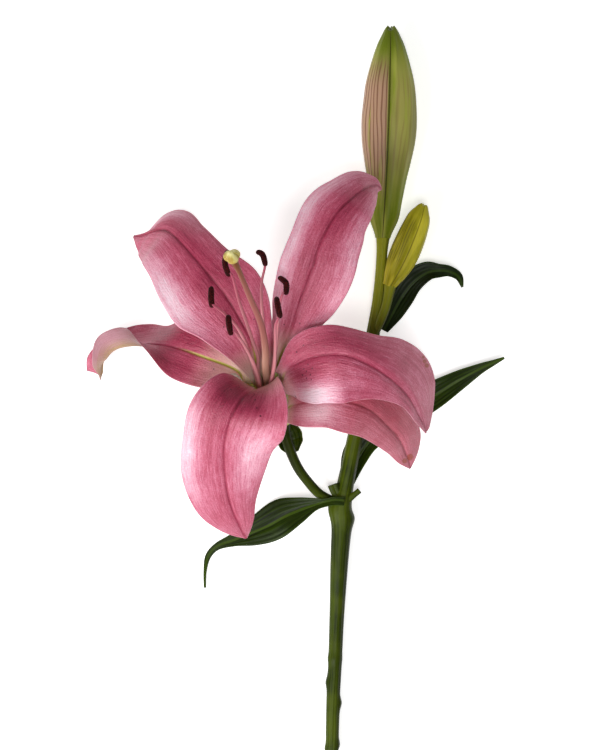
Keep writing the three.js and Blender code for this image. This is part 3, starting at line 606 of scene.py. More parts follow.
# Each tepal's patches, [s, u, width, length, change], set its depth of colour. They are partly the
# tepal's own tone and partly painted satin highlight (paler) and painted shade (deeper).
TEPALS = {
    "tepal_upper_left": {
        "rows": claw(126, INNER_CLAW_RADIUS)
        + [
            [-20.5, 21.5, 57, 0.1, -0.3, 1, 14.5, 11, 36, 36],
            [-26.5, 33.5, 58, 0, -0.1, 1, 20.5, 17, 20, 24],
            [-34, 45.5, 57, 0, 0, 1, 27, 19, 6, 10],
            [-44, 58, 54, 0, 0.1, 1, 26, 15, -4, -14],
            [-54, 69.5, 48, -0.1, 0.2, 1, 22, 14.5, -8, -36],
            [-62.3, 76.8, 40.5, -0.1, 0.2, 1, 18.5, 15, -10, -44],
            [-69.8, 77, 32, -0.2, 0.2, 1, 11, 0.6, -10, -40],
            [-75, 75.5, 24, -0.3, 0.2, 1, 6.5, 0.7, -6, -20],
            [-79.5, 75, 17, -0.4, 0.2, 1, 0.6, 0.6, 0, 0],
        ],
        "wave": edge_wave(0.8, 3, 0.4),
        "lean": upper_left_lean,
        "calm": upper_left_calm,
        "look": {
            "seed": 11,
            "throat": 37,
            "nectary": 50,
            "spots": [(-7, 58, 0.5), (-8.5, 61, 0.45), (-4, 60, 0.35), (6, 57, 0.4)],
        },
        "patches": [
            [-0.85, 0.58, 0.3, 0.14, -0.6],
            [0.7, 0.8, 0.3, 0.08, -0.3],
            [0.2, 0.6, 0.3, 0.2, 0.25],
            [-0.15, 0.45, 0.25, 0.15, 0.2],
        ],
    },
    "tepal_right": {
        "rows": claw(6, INNER_CLAW_RADIUS)
        + [
            [-5, 8.5, 58, -0.5, -0.2, 0.8, 4.4, 15.4, 46, 30],
            [4.5, 14, 65, -0.3, 0, 1, 12.5, 21.5, 20, 10],
            [14.5, 16.5, 70, -0.1, 0.1, 1, 14.5, 22.5, -6, -10],
            [24.5, 16, 71, 0.1, 0.1, 1, 15, 23, -36, -14],
            [35.5, 11.5, 68, 0.2, 0.1, 1, 17.5, 18, -44, -14],
            [45.5, 5, 61, 0.4, 0.1, 1, 22.5, 11.5, -30, -10],
            [54, -3.5, 51, 0.5, 0.1, 1, 24, 6, -20, -10],
            [60, -13.5, 40, 0.6, 0.1, 0.9, 18, 3.5, -10, -10],
            [63.5, -21, 30, 0.7, 0, 0.8, 3.5, 0.6, 0, 0],
        ],
        "wave": edge_wave(1.0, 3, 1.4),
        "lean": right_lean,
        "calm": right_calm,
        "look": {
            "seed": 23,
            "throat": 32,
            "nectary": 40,
            "spots": [
                (6.0, 47, 0.5), (8.2, 49, 0.45), (5.2, 50, 0.5), (7.4, 52, 0.55), (3.6, 49, 0.45),
                (9.8, 52, 0.4), (4.8, 54, 0.5), (2.4, 52, 0.4), (-5.2, 49, 0.45), (-7.0, 53, 0.4),
            ],
            "scorches": [(62.3, 13.6, 1.3), (63.4, 11.6, 1.4), (61.6, 15.6, 0.9)],
        },
        "patches": [
            [0.85, 0.44, 0.4, 0.12, -0.7],
            [-0.1, 0.3, 0.6, 0.06, -0.4],
            [-0.4, 0.5, 0.35, 0.2, 0.25],
            [0.3, 0.42, 0.25, 0.12, 0.25],
        ],
    },
    "tepal_lower": {
        "rows": claw(246, INNER_CLAW_RADIUS)
        + [
            [-18.5, 1, 63, -0.1, 0.8, 0.5, 12, 10, 60, 50],
            [-24.5, -3.5, 76, 0.08, 0.48, 0.87, 24, 16.5, 36, 34],
            [-30, -13, 81, 0, 0, 1, 26.3, 20.5, 0, 4],
            [-33.5, -26, 75, 0, -0.3, 1, 24, 20, -12, -6],
            [-33.5, -40.5, 65, 0, -0.5, 1, 20, 21, -20, -14],
            [-31.5, -54.5, 54, 0, -0.6, 1, 14, 18, -24, -16],
            [-27.5, -65, 45, 0, -0.6, 1, 8, 11.5, -20, -16],
            [-24, -72, 37, 0, -0.6, 1, 0.6, 0.6, 0, 0],
        ],
        "wave": edge_wave(0.8, 3, 2.6),
        "look": {
            "seed": 37,
            "throat": 40,
            "nectary": 48,
            "spots": [
                (-5.5, 55, 0.55), (-8.5, 59, 0.5), (5.0, 52, 0.45), (-3.5, 52, 0.4), (-12, 62, 0.6),
                (7.0, 57, 0.5), (10, 50, 0.4),
            ],
        },
        "patches": [
            [0.9, 0.66, 0.3, 0.14, -0.6],
            [-0.6, 0.66, 0.35, 0.12, -0.5],
            [0.4, 0.47, 0.45, 0.1, 0.4],
            [-0.3, 0.46, 0.3, 0.08, 0.3],
        ],
    },
    "tepal_upper_right": {
        "rows": claw(66, OUTER_CLAW_RADIUS)
        + [
            [-2, 29, 57, -0.15, -0.3, 1, 10, 11, 20, 24],
            [2, 41.5, 60, 0.05, -0.1, 1, 13.5, 17, 2, 2],
            [7.5, 56, 64, 0.05, 0, 1, 16, 20, -8, -4],
            [11.5, 69, 65, 0.05, 0, 1, 15, 20, -14, -10],
            [18.5, 82.5, 63, 0.1, 0.1, 1, 16, 18, -20, -16],
            [27, 91.5, 58, 0.15, 0.2, 1, 14, 14, -26, -20],
            [34, 97, 51, 0.3, 0.3, 1, 11, 9.5, -24, -20],
            [38.5, 98.5, 44, 0.3, 0.3, 1, 5, 5, -10, -10],
            [41.5, 97, 39, 0.3, 0.3, 1, 0.6, 0.6, 0, 0],
        ],
        "wave": edge_wave(0.7, 3, 3.6),
        "look": {"seed": 41, "throat": 40, "nectary": 46, "spots": [(-4, 52, 0.4), (3, 55, 0.4)]},
        "patches": [
            [-0.85, 0.6, 0.3, 0.3, -0.5],
            [0.85, 0.6, 0.3, 0.3, -0.3],
            [0.1, 0.7, 0.3, 0.2, 0.2],
        ],
    },
    "tepal_left": {
        "rows": claw(186, OUTER_CLAW_RADIUS)
        + [
            [-28, 9, 46.5, 0.3, 0.1, 1, 10, 6.2, 20, 16],
            [-43.5, 15.5, 50, 0.1, 0.2, 1, 15.5, 14, 10, 10],
            [-56.5, 20, 47, -0.1, 0.4, 0.9, 15.5, 15, 10, 10],
            [-68, 22, 43, -0.1, 0.9, 0.45, 12, 15, 34, 24],
            [-78, 22.5, 38, -0.1, 1, -0.1, 12.5, 19, 80, 68],
            [-87.8, 20.6, 32, -0.3, 1, -0.1, 11.5, 15, 84, 74],
            [-94.2, 15.2, 26, -1, 0.3, 0, 7, 10, 80, 70],
            [-96, 10.2, 20, -1, 0.1, 0, 3, 11, 60, 80],
            [-96.2, 5.5, 15, -1, 0.2, 0, 0.6, 0.6, 0, 0],
        ],
        "wave": edge_wave(0.5, 3, 4.6),
        "lean": left_lean,
        "look": {
            "seed": 53,
            "throat": 46,
            "bend": 0.85,
            "nectary": 72,
            "spots": [(-4, 50, 0.4), (5, 48, 0.4)],
            "keel": 0.9,
        },
        "patches": [
            [-0.5, 0.3, 0.5, 0.08, -0.4],
            [0.5, 0.5, 0.5, 0.15, 0.3],
            [-0.6, 0.52, 0.4, 0.12, 0.25],
        ],
    },
    "tepal_lower_right": {
        "rows": claw(306, OUTER_CLAW_RADIUS, 2)
        + [
            [-3, -8, 46, -0.65, 0.3, 0.5, 9, 9, 24, 14],
            [4.5, -6, 53, -0.3, 0.2, 1, 16, 12.5, 10, 10],
            [15.5, -4.5, 55.5, 0, 0.1, 1, 14, 14, -8, 0],
            [26, -6, 53, 0.3, 0, 1, 16, 15, -16, -6],
            [36, -10, 46, 0.5, -0.1, 1, 16, 14, -20, -10],
            [44, -17, 37, 0.5, -0.2, 1, 15.5, 11.5, -24, -14],
            [51, -25, 27, 0.5, -0.2, 1, 14, 9, -24, -14],
            [54.5, -33, 17, 0.5, -0.3, 1, 9.5, 5.5, -16, -10],
            [56.5, -39, 9, 0.5, -0.3, 1, 0.6, 0.6, 0, 0],
        ],
        "wave": edge_wave(0.7, 3, 5.6),
        "look": {
            "seed": 67,
            "throat": 20,
            "nectary": 24,
            "spots": [],
            "scorches": [(56.2, -33.4, 2.2), (53.5, -35.2, 1.6)],
            "warm": 0.2,
        },
        "patches": [
            [0.4, 0.36, 0.6, 0.1, -0.6],
            [-0.3, 0.6, 0.4, 0.2, 0.2],
        ],
    },
}


def tepal_lift(wave, seed):
    """The midrib's furrow, the waved edges and soft rumples."""

    def lift(u, s, across, width):
        body = np.minimum(1, width / 8)
        furrow = 0.8 * np.exp(-(across**2) / 4) * body
        ripple = wave(u, s) * s**2 * np.minimum(1, width / 6)
        spread = np.clip((u - 0.25) / 0.15, 0, 1) * np.clip((1 - u) / 0.1, 0, 1)
        rumple = 0.25 * soft_noise(across / 7, u * 22, seed)
        ridges = 0.06 * soft_noise(s * 15, u * 6, seed + 1)
        return ripple - furrow + (rumple + ridges) * spread

    return lift


def tepal_channels(u, s, across, width):
    """A fine furrow along the midrib and two faint ridges beside it, on the upper face."""
    body = np.minimum(1, width / 8) * np.clip((u - 0.2) / 0.15, 0, 1)
    return body * (0.1 * bump(np.abs(across) - 1.2, 0.5) - 0.22 * bump(across, 0.45))


for name, tepal in TEPALS.items():
    seed = tepal["look"]["seed"]
    made = blade(
        name + "_fine",
        tepal["rows"],
        steps=156,
        columns=68,
        thick=0.7,
        edge_thick=0.3,
        rib=0.5,
        lift=tepal_lift(tepal["wave"], seed),
        lean=tepal.get("lean"),
        calm=tepal.get("calm"),
        top_lift=tepal_channels,
        tone_and_painted_light=(DEPTH_GROUND, tepal["patches"]),
    )
    piece(made, name, tepal_material(name + "_satin", **tepal["look"]))

# ---------------------------------------------------------------- leaves and the bract

LEAVES = {
    "leaf_low": [
        [24, -55, 11.8, 0, 0.3, 1, 2.6, 2, 10, 10],
        [19.5, -54.5, 12, 0, 0.2, 1, 2.8, 1.6, 10, 10],
        [14.5, -55.5, 11.4, 0, 0.2, 1, 2.6, 1.7, 20, 30],
        [9.5, -57, 10.2, 0, 0.2, 1, 3, 3.6, 20, 20],
        [2.5, -59.5, 8.4, 0, 0.2, 1, 6, 6.5, 10, 10],
        [-5.5, -63, 6.4, 0, 0.2, 1, 8.5, 9.5, 10, 10],
        [-13.5, -67.5, 4.4, 0, 0.1, 1, 8.5, 9, 6, 6],
        [-22.5, -71.5, 2.6, 0, 0.1, 1, 6.5, 6, 6, 6],
        [-31, -75, 1.2, 0, 0, 1, 3.2, 3.4, 4, 4],
        [-39, -78, 0.3, 0, 0, 1, 2, 1.8, 0, 0],
        [-43.5, -83, 0.3, 0, 0, 1, 1.5, 1.5, 0, 0],
        [-45, -90.5, 1, 0, 0, 1, 0.8, 0.8, 0, 0],
        [-45, -98.5, 2.2, 0, 0, 1, 0.6, 0.6, 0, 0],
    ],
    "leaf_right": [
        [26, -48, 0.9, 0.1, 0.1, 1, 3, 2.4, 10, 30],
        [27.5, -42, 0.9, 0, 0.1, 1, 5.6, 4, 6, 40],
        [31, -34, 1, 0, 0.1, 1, 8.4, 5, 6, 40],
        [36, -26.5, 1.6, 0, 0.1, 1, 8.5, 5.2, 6, 30],
        [43.5, -19.5, 3, 0, 0.1, 1, 7.5, 6.5, 10, 20],
        [54, -12.5, 4.4, 0, 0, 1, 7, 6.5, 20, 20],
        [67.5, -4, 5.4, 0, 0, 1, 7.5, 6.5, 20, 20],
        [80, 4, 6, 0, 0, 1, 5.2, 5, 20, 20],
        [91, 10, 6.6, 0, 0, 1, 2.8, 2.6, 20, 20],
        [97.5, 13, 7.2, 0, 0, 1, 1.5, 1.5, 20, 20],
        [103, 15.5, 8, 0, 0, 1, 0.6, 0.6, 0, 0],
    ],
    "leaf_upper": [
        [43.5, 29, 6.4, 0, 0, 1, 2, 2.2, 20, 20],
        [48, 37.5, 5.6, 0, 0, 1, 4, 5, 20, 20],
        [52.5, 45.5, 5.2, 0, 0, 1, 6, 6, 20, 20],
        [58, 52.5, 5.6, 0, 0, 1, 7, 5, 20, 20],
        [65, 57.5, 7, 0, 0, 1, 5.8, 4, 20, 20],
        [71, 58.5, 8, 0, 0, 1, 3.5, 3.4, 20, 20],
        [76, 58, 7.6, 0, 0, 1, 2.9, 2.4, 10, 10],
        [80.5, 55.5, 6, 0, 0, 1, 2.2, 1.8, 0, 0],
        [82.5, 50.5, 4, 0, 0, 1, 0.6, 0.6, 0, 0],
    ],
    "bract": [
        [-6, -17.5, 10.8, 0.2, 0.3, 1, 5, 5, 50, 50],
        [-4.5, -22, 9.7, 0.2, 0.3, 1, 7.5, 7.5, 50, 50],
        [-3, -27, 9.1, 0.2, 0.3, 1, 7, 7, 50, 50],
        [-1.5, -31.5, 9.2, 0.2, 0.3, 1, 3, 3, 40, 40],
    ],
}


def leaf_lift(u, s, across, width):
    """The midrib's furrow, the waved edges, the veins and soft rumples."""
    furrow = 0.6 * np.exp(-(across**2) / 4) * np.minimum(1, width / 8)
    ripple = edge_wave(0.6, 3, 1)(u, s) * s**2 * np.minimum(1, width / 6)
    veins = 0.03 * np.cos(s * math.pi * 7) * np.minimum(1, width / 5)
    return ripple - furrow + veins + 0.12 * soft_noise(across / 4, u * 16, 5)


leaf_looks = {
    "leaf_low": leaf_material("leaf_gloss", colour(0x0F1900), colour(0x263800), colour(0x42580C), 7),
    "leaf_upper": leaf_material("leaf_dark", colour(0x071000), colour(0x182800), colour(0x344A0A), 7),
    "bract": leaf_material("bract_green", colour(0x1A2600), colour(0x3A4C00), colour(0x5C6E10), 7),
}
for name, rows in LEAVES.items():
    made = blade(
        name + "_fine",
        rows,
        steps=120,
        columns=44,
        thick=0.6,
        edge_thick=0.35,
        rib=0.4,
        lift=leaf_lift,
    )
    piece(made, name, leaf_looks.get(name, leaf_looks["leaf_low"]))

# ---------------------------------------------------------------- stem

STEM_SCARS = [
    {"at": 0.004, "length": 0.008, "height": 0.6, "side": 180, "wide": 50},
    {"at": 0.012, "length": 0.007, "height": 0.6, "side": 0, "wide": 40},
    {"at": 0.063, "length": 0.008, "height": 1, "side": 0, "wide": 35},
    {"at": 0.095, "length": 0.01, "height": 0.8, "side": 180, "wide": 45},
    {"at": 0.135, "length": 0.006, "height": 0.35, "side": 180, "wide": 200},
    {"at": 0.36, "length": 0.022, "height": 1.6, "side": 0, "wide": 45},
    {"at": 0.39, "length": 0.03, "height": 1.3, "side": 180, "wide": 50},
]


def stem_ridges(u, angle):
    """Faint lengthwise ridges."""
    return 0.07 * np.cos(11 * angle + 2 * np.sin(9 * u)) + 0.05 * soft_noise(angle * 3, u * 40, 2)


def stem_relief(u, angle):
    """The leaf scars over the ridges."""
    scars = sum(swelling(u, angle, **scar) for scar in STEM_SCARS)
    return scars + stem_ridges(u, angle)


def flattened(share):
    """A relief that presses a stub flat from above and below."""
    return lambda u, angle: -1.6 * share * np.sin(angle) ** 2 + 0 * u


STALKS = [
    {
        "rows": [
            [18, -179, 3.05, 3.2],
            [18.5, -154, 3.2, 3.35],
            [19.5, -134, 3.25, 3.4],
            [20.5, -109.5, 3.5, 3.7],
            [21.5, -87, 4.4, 4.4],
            [22.5, -69.5, 5.2, 4.9],
            [22.5, -57.5, 5.8, 5.1],
            [24.5, -47.5, 6.3, 4.2],
            [27.5, -32.5, 6.8, 3.9],
            [31, -15, 7.2, 3.7],
            [34.5, 5.5, 7.9, 3.6],
            [38, 26.5, 8.8, 3.4],
            [40.5, 42.5, 9.6, 2.9],
            [42, 56.5, 10.4, 2.8],
            [42.5, 67.5, 11.2, 2.7],
            [43, 75, 11.9, 3.4],
        ],
        "sides": 64,
        "steps": 420,
        "relief": stem_relief,
    },
    {
        "rows": [
            [22, -56.5, 5, 2.2],
            [17.5, -55, 6.3, 2.4],
            [11.5, -51.5, 8.2, 2.4],
            [6, -45.5, 10.4, 2.35],
            [1, -38.5, 12.6, 2.4],
            [-3, -29.5, 14.3, 2.5],
            [-5.5, -21, 15.4, 2.9],
            [*in_bloom(-6, 0, 0), RECEPTACLE_RADIUS * 0.5],
            [*in_bloom(-2.5, 0, 0), RECEPTACLE_RADIUS * 0.85],
            [*in_bloom(0, 0, 0), RECEPTACLE_RADIUS],
        ],
        "sides": 48,
        "steps": 120,
        "relief": lambda u, angle: 0.05 * np.cos(9 * angle) + 0 * u,
    },
    {
        "rows": [
            [39.5, 28.5, 9.5, 2],
            [41.5, 33, 12, 2.2],
            [44, 39.5, 13.8, 2.3],
            [45.5, 45.5, 14, 2.4],
            [46.5, 51, 14.2, 3],
        ],
        "sides": 40,
        "steps": 40,
        "relief": lambda u, angle: 0.05 * np.cos(8 * angle) + 0 * u,
    },
    {
        "rows": [[22.5, -55.5, 8, 2.3], [20, -51, 8.6, 2.6], [18.5, -47, 9.2, 2.9]],
        "sides": 32,
        "steps": 20,
        "relief": flattened(1),
    },
    {
        "rows": [[25, -55, 8, 2.2], [29, -52, 8.6, 1.5], [31.5, -50, 9, 1.5]],
        "sides": 32,
        "steps": 20,
        "relief": flattened(1 / 3),
    },
]


def numbers(made, kind, key, width):
    """A mesh's points, or the numbers kept with them, as rows."""
    source = getattr(made.data, kind)
    if kind == "attributes":
        source = source[key].data
        key = "value"
    values = np.empty(len(made.data.vertices) * width)
    source.foreach_get(key, values)
    return values.reshape(-1, width)


def joined(name, parts):
    """One mesh grown together from several closed ones, whose points keep their numbers."""
    places = np.concatenate([numbers(part, "vertices", "co", 3) for part in parts])
    nearest = KDTree(len(places))
    for k, place in enumerate(places):
        nearest.insert(place, k)
    nearest.balance()
    kept = {}
    for key in ("turn", "along"):
        kept[key] = np.concatenate([numbers(part, "attributes", key, 1)[:, 0] for part in parts])
    whole = parts[0]
    for part in parts[1:]:
        union = whole.modifiers.new("union", "BOOLEAN")
        union.operation = "UNION"
        union.solver = "EXACT"
        union.object = part
    bpy.context.view_layer.update()
    graph = bpy.context.evaluated_depsgraph_get()
    mesh = bpy.data.meshes.new_from_object(whole.evaluated_get(graph))
    for part in parts:
        bpy.data.objects.remove(part)
    mesh.name = name
    mesh.polygons.foreach_set("use_smooth", [True] * len(mesh.polygons))
    origins = [nearest.find(vertex.co)[1] for vertex in mesh.vertices]
    for key, values in kept.items():
        if key in mesh.attributes:
            mesh.attributes.remove(mesh.attributes[key])
        layer = mesh.attributes.new(key, "FLOAT", "POINT")
        layer.data.foreach_set("value", values[origins].astype(np.float32))
    made = bpy.data.objects.new(name, mesh)
    bpy.context.scene.collection.objects.link(made)
    return made


def stem_material():
    """Green with long streaks, yellower towards the buds, and painted shade along the +X side."""
    shade = Shade(
        "stem_skin",
        0.4,
        Specular_IOR_Level=0.12,
        Subsurface_Weight=0.06,
        Subsurface_Radius=(0.4, 0.6, 0.1),
        Subsurface_Scale=0.001,
    )
    turn = shade.value("turn")
    along = shade.value("along")
    streaks = shade.streaks((turn, 26.0), (along, 0.022))
    cloud = shade.noise(45.0, 3.0)
    specks = shade.noise(700.0, 3.0)
    grain = shade.noise(2600.0, 2.0)
    northing = shade.add("SeparateXYZ", {0: shade.place}).outputs[1]
    painted_shade_side = shade.math("COSINE", shade.times(turn, 2 * math.pi))
    green = shade.mix(shade.step(streaks, 0.35, 0.7), colour(0x212C00), colour(0x3C4A00))
    green = shade.mix(shade.step(cloud, 0.45, 0.7, 0.45), green, colour(0x5C6A0A))
    green = shade.mix(shade.step(northing, 0.015, 0.062, 0.9), green, colour(0x9CA226))
    # Painted shade: the +X side, away from the key light, is darkened in the colour itself.
    green = shade.mix(shade.step(painted_shade_side, 0.3, 0.95, 0.6), green, colour(0x121A00))
    green = shade.mix(shade.step(specks, 0.66, 0.78, 0.3), green, colour(0x4A3A16))
    relief = shade.weighted((streaks, 1.0), (grain, 0.25))
    return shade.finish(green, relief, 0.0003, 0.45)


stalk_parts = []
for number, stalk in enumerate(STALKS):
    rings, values = stalk_rings(
        stalk["rows"], stalk["sides"], stalk["steps"], relief=stalk["relief"]
    )
    stalk_parts.append(skin_over(f"stalk_{number}", rings, values))
piece(joined("stem_fine", stalk_parts), "stem", stem_material())

# ---------------------------------------------------------------- buds

# The dark line of a seam stands a little beside its dent, where one face laps over the next.
SEAM_LINE_SHIFT = 0.15


def bud_rings(foot, tip, bow, radius, profile, sides, steps, turn, seam, detail=None, notch=0):
    """Rings of a closed bud from foot to tip, whose faces meet in three seams.

    turn is the middle of one face, in degrees, and seam how deep the seams are, as a share of
    the radius. notch is how far the seams fall back at the tip, in millimetres.
    """
    u = np.linspace(0, 1, steps + 1)[:, None]
    angle = ring_angles(sides)
    start = np.array(foot, float)
    along = np.array(tip, float) - start
    length = np.linalg.norm(along)
    along = along / length
    up = unit(np.array([0, 0, 1]) - along * along[2])
    side = np.cross(along, up)
    share = smooth_rows([[p] for p in profile], u[:, 0])
    lobes = angle - math.radians(turn)
    wedge = np.abs(np.cos(1.5 * lobes))
    dent = seam * (1 - wedge) ** 3 * np.minimum(1, 4 * u * (1.2 - u))
    reach = radius * share * (1 + 0.04 * np.cos(3 * lobes) - dent)
    if detail is not None:
        reach = reach + detail(u, angle)
    if notch:
        close = np.clip((u - 0.965) / 0.035, 0, 1)
        reach = reach * (1 - 0.35 * close**3)
        ahead = u * length - notch * close**2 * (1 - wedge**2)
    else:
        ahead = u * length + np.zeros_like(reach)
    offset = reach * np.cos(angle) + bow * np.sin(math.pi * u)
    rings = start + along * ahead[..., None]
    rings = rings + side * offset[..., None] + up * (reach * np.sin(angle))[..., None]
    values = {
        "place": u + np.zeros_like(reach),
        "turn": angle / (2 * math.pi) + np.zeros_like(reach),
        "seam": (1 - np.abs(np.cos(1.5 * lobes + SEAM_LINE_SHIFT))) ** 3 + np.zeros_like(reach),
    }
    return settle(rings), values


def angle_gap(angle, degrees):
    """How many degrees an angle is from a given one, from -180 to 180."""
    offset = angle - np.radians(degrees)
    return np.degrees(np.arctan2(np.sin(offset), np.cos(offset)))


def big_bud_detail(u, angle):
    """Fine ribs on each face, a sharp line in each seam and the edge that crosses the front."""
    body = np.clip(u / 0.08, 0, 1) * np.clip((1 - u) / 0.12, 0, 1)
    ribs = 0.1 * np.cos(14 * angle + 1.5 * np.sin(2 * angle)) * body
    seams = sum(bump(angle_gap(angle, side), 2.2) for side in (94, 214, 334))
    edge = bump(angle_gap(angle, 114 - 46 * u), 5.0)
    return ribs - 0.45 * seams * body + 0.35 * edge * body + 0.08 * soft_noise(angle * 4, u * 14, 9)


def bud_material(name, ground, light, flush, flush_amount, stripe, seam_line, tip):
    """Faces with a striped flush over their middle, between darker seams."""
    shade = Shade(
        name,
        0.45,
        Specular_IOR_Level=0.14,
        Subsurface_Weight=0.08,
        Subsurface_Radius=(0.6, 0.6, 0.2),
        Subsurface_Scale=0.001,
    )
    turn = shade.value("turn")
    place = shade.value("place")
    seam = shade.value("seam")
    streaks = shade.streaks((turn, 30.0), (place, 2.2), distortion=0.2)
    wide = shade.streaks((turn, 9.0), (place, 2.0), 7, 2.0, 0.0, 0.5)
    grain = shade.noise(2400.0, 2.0)
    base = shade.mix(shade.step(wide, 0.35, 0.65), ground, light)
    middle = shade.times(shade.step(place, 0.12, 0.4), shade.step(place, 0.9, 0.68))
    one_face = shade.math("ADD", shade.step(turn, 0.24, 0.275, 0.75), 0.25)
    blush = shade.times(
        middle, shade.step(seam, 0.95, 0.5), shade.step(streaks, 0.3, 0.5), flush_amount, one_face
    )
    base = shade.mix(shade.step(place, 0.76, 0.98, 0.7), base, tip)
    base = shade.mix(blush, base, flush)
    stripes = shade.math("COSINE", shade.math("MULTIPLY_ADD", turn, 220.0, shade.times(wide, 18.0)))
    stripes = shade.times(shade.step(stripes, 0.1, 0.95, 0.75), shade.step(blush, 0.05, 0.5))
    base = shade.mix(stripes, base, stripe)
    base = shade.mix(shade.step(seam, 0.72, 0.95, 0.85), base, seam_line)
    base = shade.mix(shade.step(grain, 0.4, 0.8, 0.15), base, light)
    relief = shade.weighted((streaks, 1.0), (grain, 0.3))
    return shade.finish(base, relief, 0.0003, 0.4)


rings, values = bud_rings(
    foot=[42.94, 74.4, 11.98],
    tip=[47, 179, 13],
    bow=1.2,
    radius=13.6,
    profile=[0.27, 0.52, 0.61, 0.71, 0.84, 0.96, 1, 0.96, 0.88, 0.71, 0.49, 0.2],
    sides=180,
    steps=220,
    turn=40,
    seam=0.1,
    detail=big_bud_detail,
    notch=3,
)
big_bud_look = bud_material(
    "bud_flushed_green",
    ground=colour(0x667808),
    light=colour(0x9CA242),
    flush=colour(0xB48C76),
    flush_amount=0.95,
    stripe=colour(0x6E4636),
    seam_line=colour(0x33260E),
    tip=colour(0x4C5C04),
)
piece(skin_over("big_bud_fine", rings, values), "big_bud", big_bud_look)

rings, values = bud_rings(
    foot=[45.8, 50.8, 14.05],
    tip=[63, 91, 17.5],
    bow=0.6,
    radius=7.2,
    profile=[0.45, 0.72, 0.93, 1, 0.98, 0.9, 0.74, 0.3],
    sides=128,
    steps=120,
    turn=20,
    seam=0.12,
    detail=lambda u, angle: 0.14 * np.cos(12 * angle) * np.clip((1 - u) / 0.2, 0, 1),
    notch=1.2,
)
small_bud_look = bud_material(
    "bud_yellow_green",
    ground=colour(0x8E8808),
    light=colour(0xC4BA34),
    flush=colour(0x8C8410),
    flush_amount=0.6,
    stripe=colour(0x54520A),
    seam_line=colour(0x4C4A06),
    tip=colour(0xA8A020),
)
piece(skin_over("small_bud_fine", rings, values), "small_bud", small_bud_look)

# ---------------------------------------------------------------- pistil

STYLE_ROWS = [
    [-14.5, 9.5, 59, 1.8],
    [-14.5, 20, 69, 1.7],
    [-16.5, 31.5, 79, 1.5],
    [-21.5, 43.5, 87, 1.35],
    [-26, 54.5, 93, 1.25],
    [-28.5, 59.5, 95.7, 1.8],
]


def stalk_material(name, low, middle, high, roughness):
    """A smooth stalk that changes colour along its length, with faint streaks."""
    shade = Shade(
        name,
        roughness,
        Specular_IOR_Level=0.5,
        Subsurface_Weight=0.15,
        Subsurface_Radius=(0.8, 0.4, 0.4),
        Subsurface_Scale=0.001,
    )
    place = shade.value("place")
    streaks = shade.streaks((shade.value("turn"), 14.0), (place, 5.0), 0, 3.0, 0.0, 0.5)
    grain = shade.noise(3000.0, 2.0)
    base = shade.mix(shade.step(place, 0.15, 0.5), low, middle)
    base = shade.mix(shade.step(place, 0.6, 0.98), base, high)
    base = shade.mix(shade.step(streaks, 0.45, 0.75, 0.35), base, high)
    relief = shade.weighted((streaks, 0.6), (grain, 0.3))
    return shade.finish(base, relief, 0.0002, 0.4)


rings, values = stalk_rings(
    [
        [*in_bloom(CLEAR, 0, 0), OVARY_RADIUS * 0.8],
        [*in_bloom(OVARY_LENGTH * 0.35, 0, 0), OVARY_RADIUS],
        [*in_bloom(OVARY_LENGTH * 0.75, 0, 0), OVARY_RADIUS],
        [*in_bloom(OVARY_LENGTH, 0, 0), OVARY_RADIUS * 0.75],
    ],
    sides=48,
    steps=50,
    relief=lambda u, angle: 0.12 * np.cos(6 * angle) + 0 * u,
)
ovary_look = stalk_material(
    "ovary_skin", colour(0x8FAE4A), colour(0x9DB858), colour(0xA9B86A), 0.4
)
piece(skin_over("ovary_fine", rings, values), "ovary", ovary_look)

rings, values = stalk_rings(
    [[*in_bloom(OVARY_LENGTH + 2 * CLEAR, 0, 0), 1.7], *STYLE_ROWS],
    sides=36,
    steps=120,
    relief=lambda u, angle: 0.1 * np.cos(3 * angle) + 0 * u,
)
style_look = stalk_material(
    "style_skin", colour(0xC09480), colour(0xA2605A), colour(0x7A4A2A), 0.35
)
piece(skin_over("style_fine", rings, values), "style", style_look)

rings, values = bud_rings(
    foot=[-29, 60.5, 96.3],
    tip=[-30, 64, 101],
    bow=0,
    radius=4,
    profile=[0.55, 0.9, 1, 0.7, 0.3],
    sides=96,
    steps=48,
    turn=90,
    seam=0.3,
    detail=lambda u, angle: 0.07 * soft_noise(angle * 6, u * 16, 4),
)
stigma_look = bud_material(
    "stigma_skin",
    ground=colour(0xB8A84C),
    light=colour(0xDDD28C),
    flush=colour(0xB88838),
    flush_amount=0.5,
    stripe=colour(0x9A7A38),
    seam_line=colour(0x8C6E2C),
    tip=colour(0xE8E0A0),
)
piece(skin_over("stigma_fine", rings, values), "stigma", stigma_look)

# ---------------------------------------------------------------- stamens

